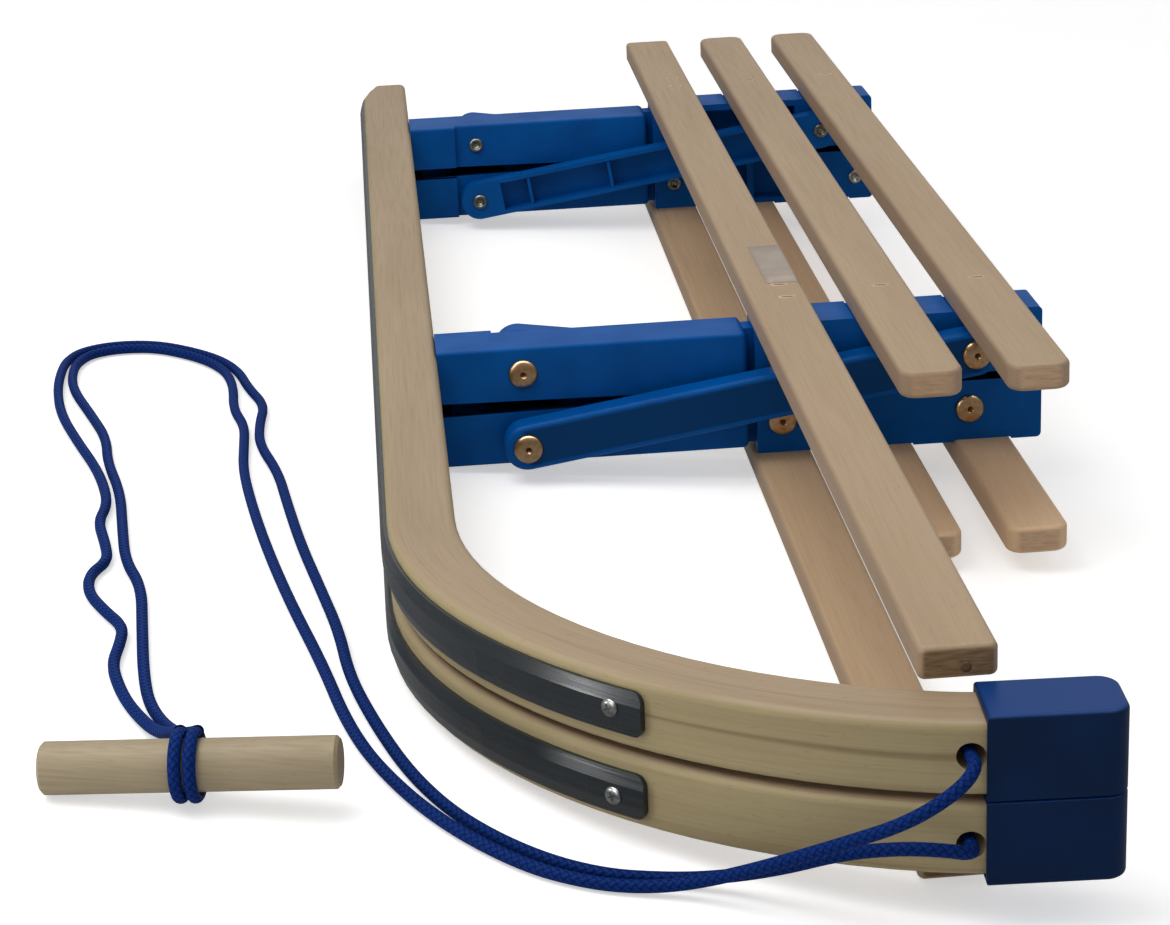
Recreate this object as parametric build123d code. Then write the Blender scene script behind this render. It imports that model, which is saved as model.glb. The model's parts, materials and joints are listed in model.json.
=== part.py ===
"""A folding wooden sled, folded flat and lying on its side, with its pull rope on the floor.

The sled frame used while building: X from the gliding edges to the seat, Y from the horns to the
rear, Z across the sled. Z = 0 is the plane between the two halves, X = 0 is the line of the seat
pivots, and Y = 0 is the front face of the front cross-member. At the end everything is tilted to
the way the folded sled comes to rest, on one slat's edge and on the lower runner.
"""

import math
import os

from build123d import *

# Runners: bent beech, one above the other when folded
RUNNER_SIDE = 28.5
RUNNER_EDGE = 3.8
RUNNER_REAR_CORNER = 4.0
HALF_GAP = 1.2
RUNNER_INNER_X = -169.3
RUNNER_REAR_Y = 616.0
TAIL_LENGTH = 45.0
TAIL_RADIUS = 130.0
BEND_START_Y = -217.0
BEND_ARCS = [  # inner radius, degrees turned
    (205.3, 31.0),
    (229.0, 43.0),
    (110.0, 13.0),
]
HORN_END_X = 50.0

# Glide strips along the outer edge of each runner
STRIP_THICK = 3.0
STRIP_WIDE = 18.0
STRIP_MARGIN = 4.2
STRIP_TURN = 50.0
STRIP_END_ROUND = 4.5
STRIP_BEVEL_WIDE = 5.2
STRIP_BEVEL_DEEP = 1.5

# Horn caps
CAP_FROM_X = 4.2
CAP_SIDE_WALL = 3.0
CAP_FACE_WALL = 1.4
CAP_END_WALL = 4.5
CAP_MID_GAP = 0.3
CAP_CLEAR = 0.2
CAP_CORNER = 8.0
CAP_EDGE = 2.0
CAP_MID_EDGE = 0.8

# Rope holes in the horns
ROPE_HOLE_X = -1.5
ROPE_HOLE_Z = 17.0
ROPE_HOLE_RADIUS = 5.2

# Cross-members, front and rear
MEMBER_DEPTH = 30.0
MEMBER_Y = {"front": 0.0, "rear": 478.0}
PIVOT_Z = 16.6
LEG_PIVOT_X = -127.5
STRUT_END_X = 94.0
HINGE_X = 131.0
SHOULDER_X = -16.6
LEG_OUTER_Z = 29.7
LEG_INNER_Z = 2.0
LEG_FOOT_INNER_Z = 3.4
LEG_TAPER_X = -75.0
LEG_EDGE = 1.5
LEG_WALL = 3.5
LEG_POCKETS = [(-163.0, -145.0), (-110.0, -82.0), (-78.0, -52.0), (-48.0, -22.0)]  # from x, to x
FOOT_END_X = -141.0
FOOT_BEYOND = 4.0
FOOT_DEPTH = MEMBER_DEPTH + FOOT_BEYOND
SHOULDER_ROUND = 3.0
TONGUE_WIDE = 11.4
TONGUE_RADIUS = 13.0
BRACKET_START_X = -12.6
BRACKET_END_X = 130.3
BRACKET_INNER_Z = 2.0
BRACKET_OUTER_Z = 34.0
BRACKET_EDGE = 2.5
BRACKET_CORNER_RADIUS = 15.9
CLEVIS_SIDE_GAP = 0.3
CLEVIS_END_GAP = 3.0
CLEVIS_PLATE_Z = 30.3
POCKET_DEPTH = 13.0
POCKET_WALL = 3.0
BRACKET_POCKETS = [(20.0, 48.0), (52.0, 80.0)]  # from x, to x
LUG_RADIUS = 7.0
LUG_CLEAR = 0.6
LUG_SIDE_GAP = 0.4

# Struts
STRUT_HALF_HIGH = 11.6
STRUT_DEEP = 12.6
STRUT_STAND_OFF = 4.0
STRUT_WALL = 2.6
STRUT_EDGE = 2.6
STRUT_WEB = 3.0
STRUT_RIB = 2.0
STRUT_RIB_PITCH = 52.5
STRUT_RIB_SUNK = 1.0
STRUT_SOLID_END = 15.0
BOSS_RADIUS = 10.0
BOSS_ROOT = 1.0
BOSS_GAP = 0.4

# Rivets and hinge pins
RIVET_RADIUS = 3.0
RIVET_CLEAR = 0.05
HEAD_RADIUS = 7.2
HEAD_RIM = 1.0
HEAD_HIGH = 3.0
TAIL_HEAD_RADIUS = 4.6
TAIL_HEAD_HIGH = 1.8
HINGE_PIN_RADIUS = 2.5
HINGE_PIN_INSET = 0.3
SEAT_GAP = 0.1

# Slats
SLAT_WIDE = 29.0
SLAT_THICK = 13.0
SLAT_SEAT_Z = 33.0
SLAT_EDGE = 2.5
SLAT_SIDE_GAP = 0.3
SLAT_REAR_Y = 631.0
SLATS = [  # name, centre x, front end y, corner radius in plan
    ("inner", 0.0, -426.0, 3.0),
    ("middle", 51.0, -124.5, 8.0),
    ("outer", 100.5, -124.5, 8.0),
]

# Pull rope and its dowel handle, lying on the floor
ROPE_D = 5.0
HANDLE_RADIUS = 10.0
HANDLE_LENGTH = 112.0
HANDLE_LOW_END = (-328.7, -358.0)
HANDLE_HEADING = -8.2
HANDLE_CHAMFER = 1.2
HITCH_AT = 55.0
HITCH_SPREAD = 3.3
HITCH_CLEAR = 0.15
ROPE_END_GAP = 0.2
KNOT_RADIUS = 7.0
KNOT_LIFT = 0.9

# Routes of the two strands in the tilted sled frame, before the origin is moved: x, y, and how far
# the rope's underside is above the floor. Each runs from its horn hole to the handle.
UPPER_ROUTE = [
    (-3.0, -458.0, 61.2), (-3.0, -465.0, 61.2), (-12.0, -472.5, 55.0), (-28.0, -473.0, 44.0),
    (-48.0, -463.0, 31.0), (-72.0, -449.5, 15.0), (-94.0, -438.5, 3.0), (-112.0, -436.0, 0.0),
    (-131.0, -432.5, 0.0), (-154.0, -419.0, 0.0), (-182.0, -385.0, 0.0), (-203.5, -340.5, 0.0),
    (-215.5, -299.0, 0.0), (-225.0, -243.0, 0.0), (-238.5, -179.0, 0.0), (-250.0, -115.0, 0.0),
    (-258.5, -57.0, 0.0), (-264.0, -8.0, 0.0), (-264.5, 28.0, 0.0), (-265.0, 58.0, 0.0),
    (-271.5, 84.0, 0.0), (-272.5, 121.0, 0.0), (-277.0, 146.0, 0.0), (-286.0, 163.0, 0.0),
    (-299.0, 176.0, 0.0), (-317.0, 186.5, 0.0), (-336.0, 184.0, 0.0), (-350.0, 174.5, 0.0),
    (-356.5, 160.0, 0.0), (-358.5, 142.0, 0.0), (-356.0, 112.0, 0.0), (-343.0, 70.0, 0.0),
    (-333.0, 35.0, 0.0), (-330.0, 0.0, 0.0), (-321.0, -42.0, 0.0), (-317.0, -88.0, 0.0),
    (-313.0, -130.0, 0.0), (-304.0, -160.0, 0.0), (-301.0, -205.0, 0.0), (-297.5, -255.0, 0.0),
    (-293.0, -287.0, 0.0), (-283.5, -312.0, 1.5), (-276.0, -337.0, 12.0), (-271.3, -360.0, 24.0),
]
LOWER_ROUTE = [
    (0.0, -458.0, 27.3), (0.0, -466.0, 27.3), (-11.0, -470.5, 30.5), (-26.0, -464.0, 29.0),
    (-44.0, -453.0, 22.0), (-64.0, -442.5, 11.0), (-84.0, -433.0, 2.5), (-103.0, -429.5, 0.0),
    (-126.0, -426.5, 0.0), (-150.0, -411.5, 0.0), (-174.0, -383.0, 0.0), (-191.0, -347.0, 0.0),
    (-204.0, -301.0, 0.0), (-214.0, -254.0, 0.0), (-218.0, -208.0, 0.0), (-226.0, -160.0, 0.0),
    (-235.0, -107.0, 0.0), (-242.0, -53.0, 0.0), (-247.0, -10.0, 0.0), (-257.0, 30.0, 0.0),
    (-257.5, 62.0, 0.0), (-255.5, 92.0, 0.0), (-264.5, 119.0, 0.0), (-270.5, 148.0, 0.0),
    (-281.0, 167.5, 0.0), (-296.5, 182.0, 0.0), (-317.0, 193.0, 0.0), (-338.5, 190.5, 0.0),
    (-355.5, 178.5, 0.0), (-363.0, 161.0, 0.0), (-364.5, 138.0, 0.0), (-363.5, 108.0, 0.0),
    (-358.5, 71.0, 0.0), (-347.0, 30.0, 0.0), (-335.0, -8.0, 0.0), (-328.5, -38.0, 0.0),
    (-326.0, -60.0, 0.0), (-328.5, -82.0, 0.0), (-323.5, -108.0, 0.0), (-320.5, -130.0, 0.0),
    (-327.5, -147.0, 0.0), (-326.5, -168.0, 0.0), (-318.0, -188.0, 0.0), (-309.0, -205.0, 0.0),
    (-309.0, -222.0, 0.0), (-311.0, -245.0, 0.0), (-306.0, -270.0, 0.0), (-299.5, -290.0, 0.0),
    (-290.0, -312.0, 1.5), (-282.5, -337.0, 12.0), (-277.7, -359.0, 23.5),
]

# How far a hole or pocket is cut beyond the face it opens, and half the width of a thin probe
BEYOND = 1.0
PROBE_HALF = 0.1

RUNNER_OUTER_Z = HALF_GAP + RUNNER_SIDE
RUNNER_OUTER_X = RUNNER_INNER_X - RUNNER_SIDE
SLAT_TOP_Z = SLAT_SEAT_Z + SLAT_THICK
MID_Y = MEMBER_DEPTH / 2
BEYOND_HORN_Y = BEND_START_Y - 2 * BEND_ARCS[0][0]


def block(x0, x1, y0, y1, z0, z1):
    """A box between two corners."""
    centre = ((x0 + x1) / 2, (y0 + y1) / 2, (z0 + z1) / 2)
    return Pos(*centre) * Box(abs(x1 - x0), abs(y1 - y0), abs(z1 - z0))


def round_bar(x, z, radius, y0, y1):
    """A cylinder along Y."""
    return Pos(x, (y0 + y1) / 2, z) * Rot(X=90) * Cylinder(radius, y1 - y0)


def side_profile(points, y0, y1):
    """A polygon drawn in X and Z, given thickness along Y."""
    corners = [Vector(x, 0, z) for x, z in points]
    face = make_face(Polyline(*corners, close=True))
    return Pos(0, y0, 0) * extrude(face, amount=y1 - y0, dir=(0, 1, 0))


def domed_head(x, z, y, towards):
    """A rivet's domed head on the face at y, standing out towards -1 or +1 along Y."""
    dome_radius = (HEAD_RADIUS**2 + (HEAD_HIGH - HEAD_RIM) ** 2) / (2 * (HEAD_HIGH - HEAD_RIM))
    low, far = sorted((y, y + towards * HEAD_HIGH))
    centre_y = y + towards * (HEAD_HIGH - dome_radius)
    return round_bar(x, z, HEAD_RADIUS, low, far) & Pos(x, centre_y, z) * Sphere(dome_radius)


def flat_head(x, z, y, towards, radius, high):
    """A low round head on the face at y."""
    low, far = sorted((y, y + towards * high))
    return round_bar(x, z, radius, low, far)


def edge_lines(offset, turn):
    """The runner's edge at a distance outside its inner face, from the rear to a turn in degrees."""
    start = (RUNNER_INNER_X - offset, RUNNER_REAR_Y - TAIL_LENGTH)
    lines = [Line(start, (start[0], BEND_START_Y))]
    left = turn
    for radius, degrees in BEND_ARCS:
        swept = min(degrees, left)
        if swept > 0:
            last = lines[-1]
            lines.append(JernArc(last @ 1, last % 1, radius + offset, swept))
        left -= swept
    return lines


def tail_arc(offset, tail_radius):
    """The gentle curve that ends the gliding edge at the rear."""
    start = (RUNNER_INNER_X - offset, RUNNER_REAR_Y - TAIL_LENGTH)
    turned = math.degrees(math.asin(TAIL_LENGTH / tail_radius))
    return JernArc(start, (0, 1), tail_radius, -turned)


def runner():
    """The upper runner with its horn and rope hole."""
    full = sum(degrees for _, degrees in BEND_ARCS)
    inner = edge_lines(0, full)
    outer = edge_lines(RUNNER_SIDE, full)
    heading = inner[-1] % 1
    reach = (HORN_END_X - (inner[-1] @ 1).X) / heading.X
    inner.append(Line(inner[-1] @ 1, (inner[-1] @ 1) + heading * reach))
    outer.append(Line(outer[-1] @ 1, (outer[-1] @ 1) + heading * reach))
    tail = tail_arc(RUNNER_SIDE, TAIL_RADIUS)
    rear_inner = (RUNNER_INNER_X, RUNNER_REAR_Y)
    face = make_face(
        [
            *inner,
            *outer,
            tail,
            Line(inner[0] @ 0, rear_inner),
            Line(rear_inner, tail @ 1),
            Line(inner[-1] @ 1, outer[-1] @ 1),
        ]
    )
    body = extrude(face, amount=RUNNER_SIDE, dir=(0, 0, 1))
    corners = body.edges().filter_by(Axis.Z).group_by(Axis.Y)[-1]
    body = fillet(corners, RUNNER_REAR_CORNER)
    along = body.edges().filter_by_position(Axis.Z, -0.01, 0.01)
    along += body.edges().filter_by_position(Axis.Z, RUNNER_SIDE - 0.01, RUNNER_SIDE + 0.01)
    body = fillet(along, RUNNER_EDGE)
    body = Pos(0, 0, HALF_GAP) * body
    hole = round_bar(ROPE_HOLE_X, ROPE_HOLE_Z, ROPE_HOLE_RADIUS, BEYOND_HORN_Y, BEND_START_Y)
    return body - hole


def lies_over(edge, lines):
    """Whether an edge runs straight above one of the lines in the XY plane."""
    middle = edge @ 0.5
    foot = Vector(middle.X, middle.Y, 0)
    level = abs((edge % 0.5).Z) < 0.1
    return level and min(line.distance_to(foot) for line in lines) < 0.01


def glide_strip():
    """The upper runner's plastic strip, from the tail to its rounded end on the horn."""
    near, far = RUNNER_SIDE, RUNNER_SIDE + STRIP_THICK
    inside, outside = edge_lines(near, STRIP_TURN), edge_lines(far, STRIP_TURN)
    tail_in = tail_arc(near, TAIL_RADIUS)
    tail_out = tail_arc(far, TAIL_RADIUS + STRIP_THICK)
    face = make_face(
        [
            *inside,
            *outside,
            tail_in,
            tail_out,
            Line(tail_in @ 1, tail_out @ 1),
            Line(inside[-1] @ 1, outside[-1] @ 1),
        ]
    )
    low = RUNNER_OUTER_Z - STRIP_MARGIN - STRIP_WIDE
    strip = Pos(0, 0, low) * extrude(face, amount=STRIP_WIDE, dir=(0, 0, 1))
    for end in (0, -1):
        side = strip.faces().sort_by(Axis.Z)[end]
        rims = [edge for edge in side.edges() if lies_over(edge, [*outside, tail_out])]
        strip = chamfer(rims, STRIP_BEVEL_DEEP, STRIP_BEVEL_WIDE, reference=side)
    tip, ahead = inside[-1] @ 1, inside[-1] % 1
    for z, up in ((low, -1), (low + STRIP_WIDE, 1)):
        strip -= end_corner(tip, ahead, z, up)
    return strip


def end_corner(tip, ahead, z, up):
    """What rounds off one corner of the strip's front end: a square less a quarter circle."""
    deep = 4 * STRIP_THICK
    beyond = STRIP_THICK / 4
    middle = (beyond - STRIP_END_ROUND) / 2
    wide = STRIP_END_ROUND + beyond
    square = Pos(middle, 0, up * middle) * Box(wide, deep, wide)
    centre = Pos(-STRIP_END_ROUND, 0, -up * STRIP_END_ROUND)
    place = Plane(origin=(tip.X, tip.Y, z), x_dir=ahead, z_dir=(0, 0, 1))
    return place * (square - centre * Rot(X=90) * Cylinder(STRIP_END_ROUND, deep))


def horn_cap():
    """The upper horn's slip-on cap: a box round the horn, closed at the end and rounded there."""
    full = sum(degrees for _, degrees in BEND_ARCS)
    tip = edge_lines(RUNNER_SIDE / 2, full)[-1]
    heading = tip % 1
    angle = math.degrees(math.atan2(heading.Y, heading.X))
    start = (tip @ 1) + heading * ((CAP_FROM_X - (tip @ 1).X) / heading.X)
    wood_length = (HORN_END_X - CAP_FROM_X) / heading.X
    length = wood_length + CAP_END_WALL
    half = RUNNER_SIDE / 2 + CAP_FACE_WALL
    low, high = CAP_MID_GAP, RUNNER_OUTER_Z + CAP_SIDE_WALL
    outer = block(0, length, -half, half, low, high)
    outer = fillet(outer.edges().filter_by(Axis.Z).group_by(Axis.X)[-1], CAP_CORNER)
    outer = fillet(outer.edges().group_by(Axis.Z)[-1], CAP_EDGE)
    outer = fillet(outer.edges().group_by(Axis.Z)[0], CAP_MID_EDGE)
    room = RUNNER_SIDE / 2 + CAP_CLEAR
    cavity = block(
        -BEYOND,
        wood_length + CAP_CLEAR,
        -room,
        room,
        HALF_GAP - CAP_CLEAR,
        RUNNER_OUTER_Z + CAP_CLEAR,
    )
    cap = Pos(start.X, start.Y, 0) * Rot(Z=angle) * (outer - cavity)
    return cap - runner()


def leg():
    """The front cross-member's upper leg, from the runner to its pivot tongue."""
    outline = [
        (RUNNER_INNER_X, LEG_FOOT_INNER_Z),
        (LEG_TAPER_X, LEG_INNER_Z),
        (SHOULDER_X, LEG_INNER_Z),
        (SHOULDER_X, LEG_OUTER_Z),
        (RUNNER_INNER_X, LEG_OUTER_Z),
    ]
    body = side_profile(outline, 0, MEMBER_DEPTH)
    body += block(RUNNER_INNER_X, FOOT_END_X, 0, FOOT_DEPTH, LEG_FOOT_INNER_Z, LEG_OUTER_Z)
    body = fillet(body.edges().filter_by(Axis.X).group_by(Axis.Z)[-1], LEG_EDGE)
    body = fillet(body.edges().filter_by(Axis.Z).group_by(Axis.X)[-1], SHOULDER_ROUND)
    for x0, x1 in LEG_POCKETS:
        body -= block(
            x0,
            x1,
            LEG_WALL,
            MEMBER_DEPTH - LEG_WALL,
            LEG_INNER_Z - BEYOND,
            LEG_OUTER_Z - LEG_WALL,
        )
    low, high = MID_Y - TONGUE_WIDE / 2, MID_Y + TONGUE_WIDE / 2
    neck = block(
        SHOULDER_X - BEYOND, 0, low, high, PIVOT_Z - TONGUE_RADIUS, PIVOT_Z + TONGUE_RADIUS
    )
    body += neck + round_bar(0, PIVOT_Z, TONGUE_RADIUS, low, high)
    hole = RIVET_RADIUS + RIVET_CLEAR
    body -= round_bar(0, PIVOT_Z, hole, -BEYOND, MEMBER_DEPTH + BEYOND)
    body -= round_bar(LEG_PIVOT_X, PIVOT_Z, hole, -BEYOND, MEMBER_DEPTH + BEYOND)
    return body


def lug_bands(near):
    """The Y spans of one bracket's two hinge lugs. The other bracket has the mirrored spans."""
    width = (MEMBER_DEPTH - 3 * LUG_SIDE_GAP) / 4
    step = width + LUG_SIDE_GAP
    first = 0 if near else 1
    return [(i * step, i * step + width) for i in (first, first + 2)]


def bracket(near):
    """The upper seat bracket: clevis, slat seats, rib pockets and hinge lugs."""
    body = block(
        BRACKET_START_X, BRACKET_END_X, 0, MEMBER_DEPTH, BRACKET_INNER_Z, BRACKET_OUTER_Z
    )
    body = fillet(body.edges().filter_by(Axis.Y).group_by(Axis.Z)[-1], BRACKET_EDGE)
    for _, centre, _, _ in SLATS:
        half = SLAT_WIDE / 2 + SLAT_SIDE_GAP
        body -= block(
            centre - half,
            centre + half,
            -BEYOND,
            MEMBER_DEPTH + BEYOND,
            SLAT_SEAT_Z,
            BRACKET_OUTER_Z + BEYOND,
        )
    body -= block(
        BRACKET_START_X - BEYOND,
        0,
        -BEYOND,
        MEMBER_DEPTH + BEYOND,
        BRACKET_INNER_Z - BEYOND,
        PIVOT_Z,
    ) - round_bar(0, PIVOT_Z, BRACKET_CORNER_RADIUS, -BEYOND, MEMBER_DEPTH + BEYOND)
    slot_half = TONGUE_WIDE / 2 + CLEVIS_SIDE_GAP
    body -= block(
        BRACKET_START_X - BEYOND,
        TONGUE_RADIUS + CLEVIS_END_GAP,
        MID_Y - slot_half,
        MID_Y + slot_half,
        BRACKET_INNER_Z - BEYOND,
        CLEVIS_PLATE_Z,
    )
    for x0, x1 in BRACKET_POCKETS:
        body -= block(
            x0,
            x1,
            MEMBER_DEPTH - POCKET_DEPTH,
            MEMBER_DEPTH + BEYOND,
            BRACKET_INNER_Z + POCKET_WALL,
            SLAT_SEAT_Z - POCKET_WALL,
        )
    for low, high in lug_bands(not near):
        body -= round_bar(
            HINGE_X, 0, LUG_RADIUS + LUG_CLEAR, low - LUG_SIDE_GAP, high + LUG_SIDE_GAP
        )
    for low, high in lug_bands(near):
        body += round_bar(HINGE_X, 0, LUG_RADIUS, low, high)
    hole = RIVET_RADIUS + RIVET_CLEAR
    for x in (0, STRUT_END_X):
        body -= round_bar(x, PIVOT_Z, hole, -BEYOND, MEMBER_DEPTH + BEYOND)
    hole = HINGE_PIN_RADIUS + RIVET_CLEAR
    body -= round_bar(HINGE_X, 0, hole, -BEYOND, MEMBER_DEPTH + BEYOND)
    return body


STRUT_RUN = STRUT_END_X - LEG_PIVOT_X
STRUT_LENGTH = math.hypot(STRUT_RUN, 2 * PIVOT_Z)
STRUT_SLOPE = math.degrees(math.atan2(2 * PIVOT_Z, STRUT_RUN))


def strut(behind):
    """A channel strut from the lower leg to the upper bracket, in front of them or behind them."""
    y0 = MEMBER_DEPTH + STRUT_STAND_OFF if behind else -STRUT_STAND_OFF - STRUT_DEEP
    y1 = y0 + STRUT_DEEP
    bar = round_bar(0, 0, STRUT_HALF_HIGH, y0, y1)
    bar += round_bar(STRUT_LENGTH, 0, STRUT_HALF_HIGH, y0, y1)
    bar += block(0, STRUT_LENGTH, y0, y1, -STRUT_HALF_HIGH, STRUT_HALF_HIGH)
    bar = fillet(bar.edges().group_by(Axis.Y)[0], STRUT_EDGE)
    inside = STRUT_HALF_HIGH - STRUT_WALL
    trough = block(
        STRUT_SOLID_END,
        STRUT_LENGTH - STRUT_SOLID_END,
        y0 + STRUT_WEB,
        y1 + BEYOND,
        -inside,
        inside,
    )
    for step in (-1.5, -0.5, 0.5, 1.5):
        x = STRUT_LENGTH / 2 + step * STRUT_RIB_PITCH
        trough -= block(
            x - STRUT_RIB / 2, x + STRUT_RIB / 2, y0, y1 - STRUT_RIB_SUNK, -inside, inside
        )
    bar -= trough
    reach = STRUT_STAND_OFF + BEYOND
    ends = (MEMBER_DEPTH + BOSS_GAP, y0 + BOSS_ROOT) if behind else (y1 - BOSS_ROOT, -BOSS_GAP)
    for x in (0, STRUT_LENGTH):
        bar += round_bar(x, 0, BOSS_RADIUS, *ends)
        bar -= round_bar(x, 0, RIVET_RADIUS + RIVET_CLEAR, y0 - reach, y1 + reach)
    return Pos(LEG_PIVOT_X, 0, -PIVOT_Z) * Rot(Y=-STRUT_SLOPE) * bar


FRONT_STRUT_FACE = -STRUT_STAND_OFF - STRUT_DEEP
BACK_STRUT_FACE = MEMBER_DEPTH + STRUT_STAND_OFF + STRUT_DEEP


def rivet(x, z, head_y, tail_y):
    """A whole rivet, its domed head on the face at head_y and its tail on the face at tail_y."""
    head_y, tail_y = head_y - SEAT_GAP, tail_y + SEAT_GAP
    shank = round_bar(x, z, RIVET_RADIUS, head_y - HEAD_RIM / 2, tail_y + TAIL_HEAD_HIGH / 2)
    tail = flat_head(x, z, tail_y, 1, TAIL_HEAD_RADIUS, TAIL_HEAD_HIGH)
    return domed_head(x, z, head_y, -1) + shank + tail


def front_member():
    """Every piece of the front cross-member, by its role and by the half that carries it."""
    low_z, up_z = -PIVOT_Z, PIVOT_Z
    hinge = round_bar(
        HINGE_X, 0, HINGE_PIN_RADIUS, HINGE_PIN_INSET, MEMBER_DEPTH - HINGE_PIN_INSET
    )
    front_end = domed_head(STRUT_END_X, up_z, FRONT_STRUT_FACE - SEAT_GAP, -1)
    front_end += round_bar(
        STRUT_END_X, up_z, RIVET_RADIUS, FRONT_STRUT_FACE - HEAD_RIM, -BOSS_GAP
    )
    front_tail = flat_head(
        STRUT_END_X, up_z, MEMBER_DEPTH + SEAT_GAP, 1, TAIL_HEAD_RADIUS, TAIL_HEAD_HIGH
    )
    front_tail += round_bar(
        STRUT_END_X, up_z, RIVET_RADIUS, 0, MEMBER_DEPTH + TAIL_HEAD_HIGH / 2
    )
    back_head = domed_head(STRUT_END_X, low_z, -SEAT_GAP, -1)
    back_head += round_bar(STRUT_END_X, low_z, RIVET_RADIUS, -HEAD_RIM / 2, MEMBER_DEPTH)
    back_end = flat_head(
        STRUT_END_X, low_z, BACK_STRUT_FACE + SEAT_GAP, 1, TAIL_HEAD_RADIUS, TAIL_HEAD_HIGH
    )
    back_end += round_bar(
        STRUT_END_X,
        low_z,
        RIVET_RADIUS,
        MEMBER_DEPTH + BOSS_GAP,
        BACK_STRUT_FACE + TAIL_HEAD_HIGH / 2,
    )
    return {
        ("leg", "upper"): leg(),
        ("leg", "lower"): mirror(leg(), about=Plane.XY),
        ("bracket", "upper"): bracket(near=False),
        ("bracket", "lower"): mirror(bracket(near=True), about=Plane.XY),
        ("strut", "lower"): strut(behind=False),
        ("strut", "upper"): mirror(strut(behind=True), about=Plane.XY),
        ("leg_rivet", "lower"): rivet(LEG_PIVOT_X, low_z, FRONT_STRUT_FACE, MEMBER_DEPTH),
        ("leg_rivet", "upper"): rivet(LEG_PIVOT_X, up_z, 0, BACK_STRUT_FACE),
        ("pivot_rivet", "lower"): rivet(0, low_z, 0, MEMBER_DEPTH),
        ("pivot_rivet", "upper"): rivet(0, up_z, 0, MEMBER_DEPTH),
        ("hinge_pin", "lower"): hinge,
        ("strut_rivet", "lower"): front_end,
        ("strut_rivet", "upper"): back_end,
        ("bracket_rivet", "upper"): front_tail,
        ("bracket_rivet", "lower"): back_head,
    }


def placed_member(name):
    """The pieces of one cross-member where it stands. The rear one is the front one turned round."""
    pieces = front_member()
    if name == "front":
        return pieces
    other = {"upper": "lower", "lower": "upper"}
    turned = Pos(0, MEMBER_Y["rear"] + MEMBER_DEPTH, 0) * Rot(X=180)
    return {(role, other[half]): turned * part for (role, half), part in pieces.items()}


def slat(centre, front_y, corner):
    """One upper slat, its flat seat side outwards."""
    body = block(
        centre - SLAT_WIDE / 2,
        centre + SLAT_WIDE / 2,
        front_y,
        SLAT_REAR_Y,
        SLAT_SEAT_Z,
        SLAT_TOP_Z,
    )
    body = fillet(body.edges().filter_by(Axis.Z), corner)
    flat = body.edges().group_by(Axis.Z)
    return fillet(flat[0] + flat[-1], SLAT_EDGE)


def rest_tilt():
    """Degrees by which the folded sled leans, from the lowest slat edge and the lower runner."""
    slat_x = -SLAT_WIDE / 2 + SLAT_EDGE
    slat_z = -SLAT_TOP_Z + SLAT_EDGE
    dx = slat_x - (RUNNER_OUTER_X + RUNNER_EDGE)
    dz = slat_z - (-RUNNER_OUTER_Z + RUNNER_EDGE)
    tilt = math.asin((SLAT_EDGE - RUNNER_EDGE) / math.hypot(dx, dz)) - math.atan2(dz, dx)
    floor = slat_x * math.sin(tilt) + slat_z * math.cos(tilt) - SLAT_EDGE
    return math.degrees(tilt), floor


def rope_tube(route, label):
    """A tube of straight runs and tangent arcs along a hand-set route."""
    points = [Vector(x, y, lift + ROPE_D / 2) for x, y, lift in route]
    radii = []
    for a, b, c in zip(points, points[1:], points[2:], strict=False):
        turn = math.radians((b - a).get_angle(c - b))
        shorter = min((b - a).length, (c - b).length)
        radii.append(0.45 * shorter / math.tan(turn / 2))
    path = FilletPolyline(*points, radius=radii)
    start = Plane(origin=path @ 0, z_dir=path % 0)
    tube = sweep(start * Circle(ROPE_D / 2), path=path)
    expected = math.pi * ROPE_D**2 / 4 * path.length
    print(label, "length", round(path.length), "volume share", round(tube.volume / expected, 4))
    print(label, "radii", [round(r) for r in radii])
    return tube


def handle_axis():
    """The dowel's low end, heading and lift: it lies on one end and on the wraps of the rope."""
    wrap = HANDLE_RADIUS + ROPE_D + HITCH_CLEAR
    lift = math.atan2(wrap - HANDLE_RADIUS, HITCH_AT - HITCH_SPREAD)
    low = (*HANDLE_LOW_END, HANDLE_RADIUS * math.cos(lift))
    return Pos(*low) * Rot(Z=HANDLE_HEADING) * Rot(Y=-math.degrees(lift))


def pull_handle():
    """The dowel, with chamfered ends."""
    dowel = Rot(Y=90) * Cylinder(
        HANDLE_RADIUS, HANDLE_LENGTH, align=(Align.CENTER, Align.CENTER, Align.MIN)
    )
    dowel = chamfer(dowel.edges().filter_by(GeomType.CIRCLE), HANDLE_CHAMFER)
    return handle_axis() * dowel


def rope_hitch():
    """The two wraps of rope round the dowel."""
    middle = HANDLE_RADIUS + ROPE_D / 2 + HITCH_CLEAR
    wraps = [
        Pos(HITCH_AT + side * HITCH_SPREAD, 0, 0) * Rot(Y=90) * Torus(middle, ROPE_D / 2)
        for side in (-1, 1)
    ]
    return handle_axis() * Compound(wraps)


def horn_knot():
    """The upper strand's end: through the horn and knotted behind it."""
    sunk = math.sqrt(KNOT_RADIUS**2 - ROPE_HOLE_RADIUS**2)
    middle_y = horn_inner_y() + sunk + KNOT_LIFT
    knot = Pos(ROPE_HOLE_X, middle_y, ROPE_HOLE_Z) * Sphere(KNOT_RADIUS)
    shank = round_bar(
        ROPE_HOLE_X, ROPE_HOLE_Z, ROPE_D / 2, UPPER_ROUTE[0][1] + ROPE_END_GAP, middle_y
    )
    return knot + shank


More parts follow.
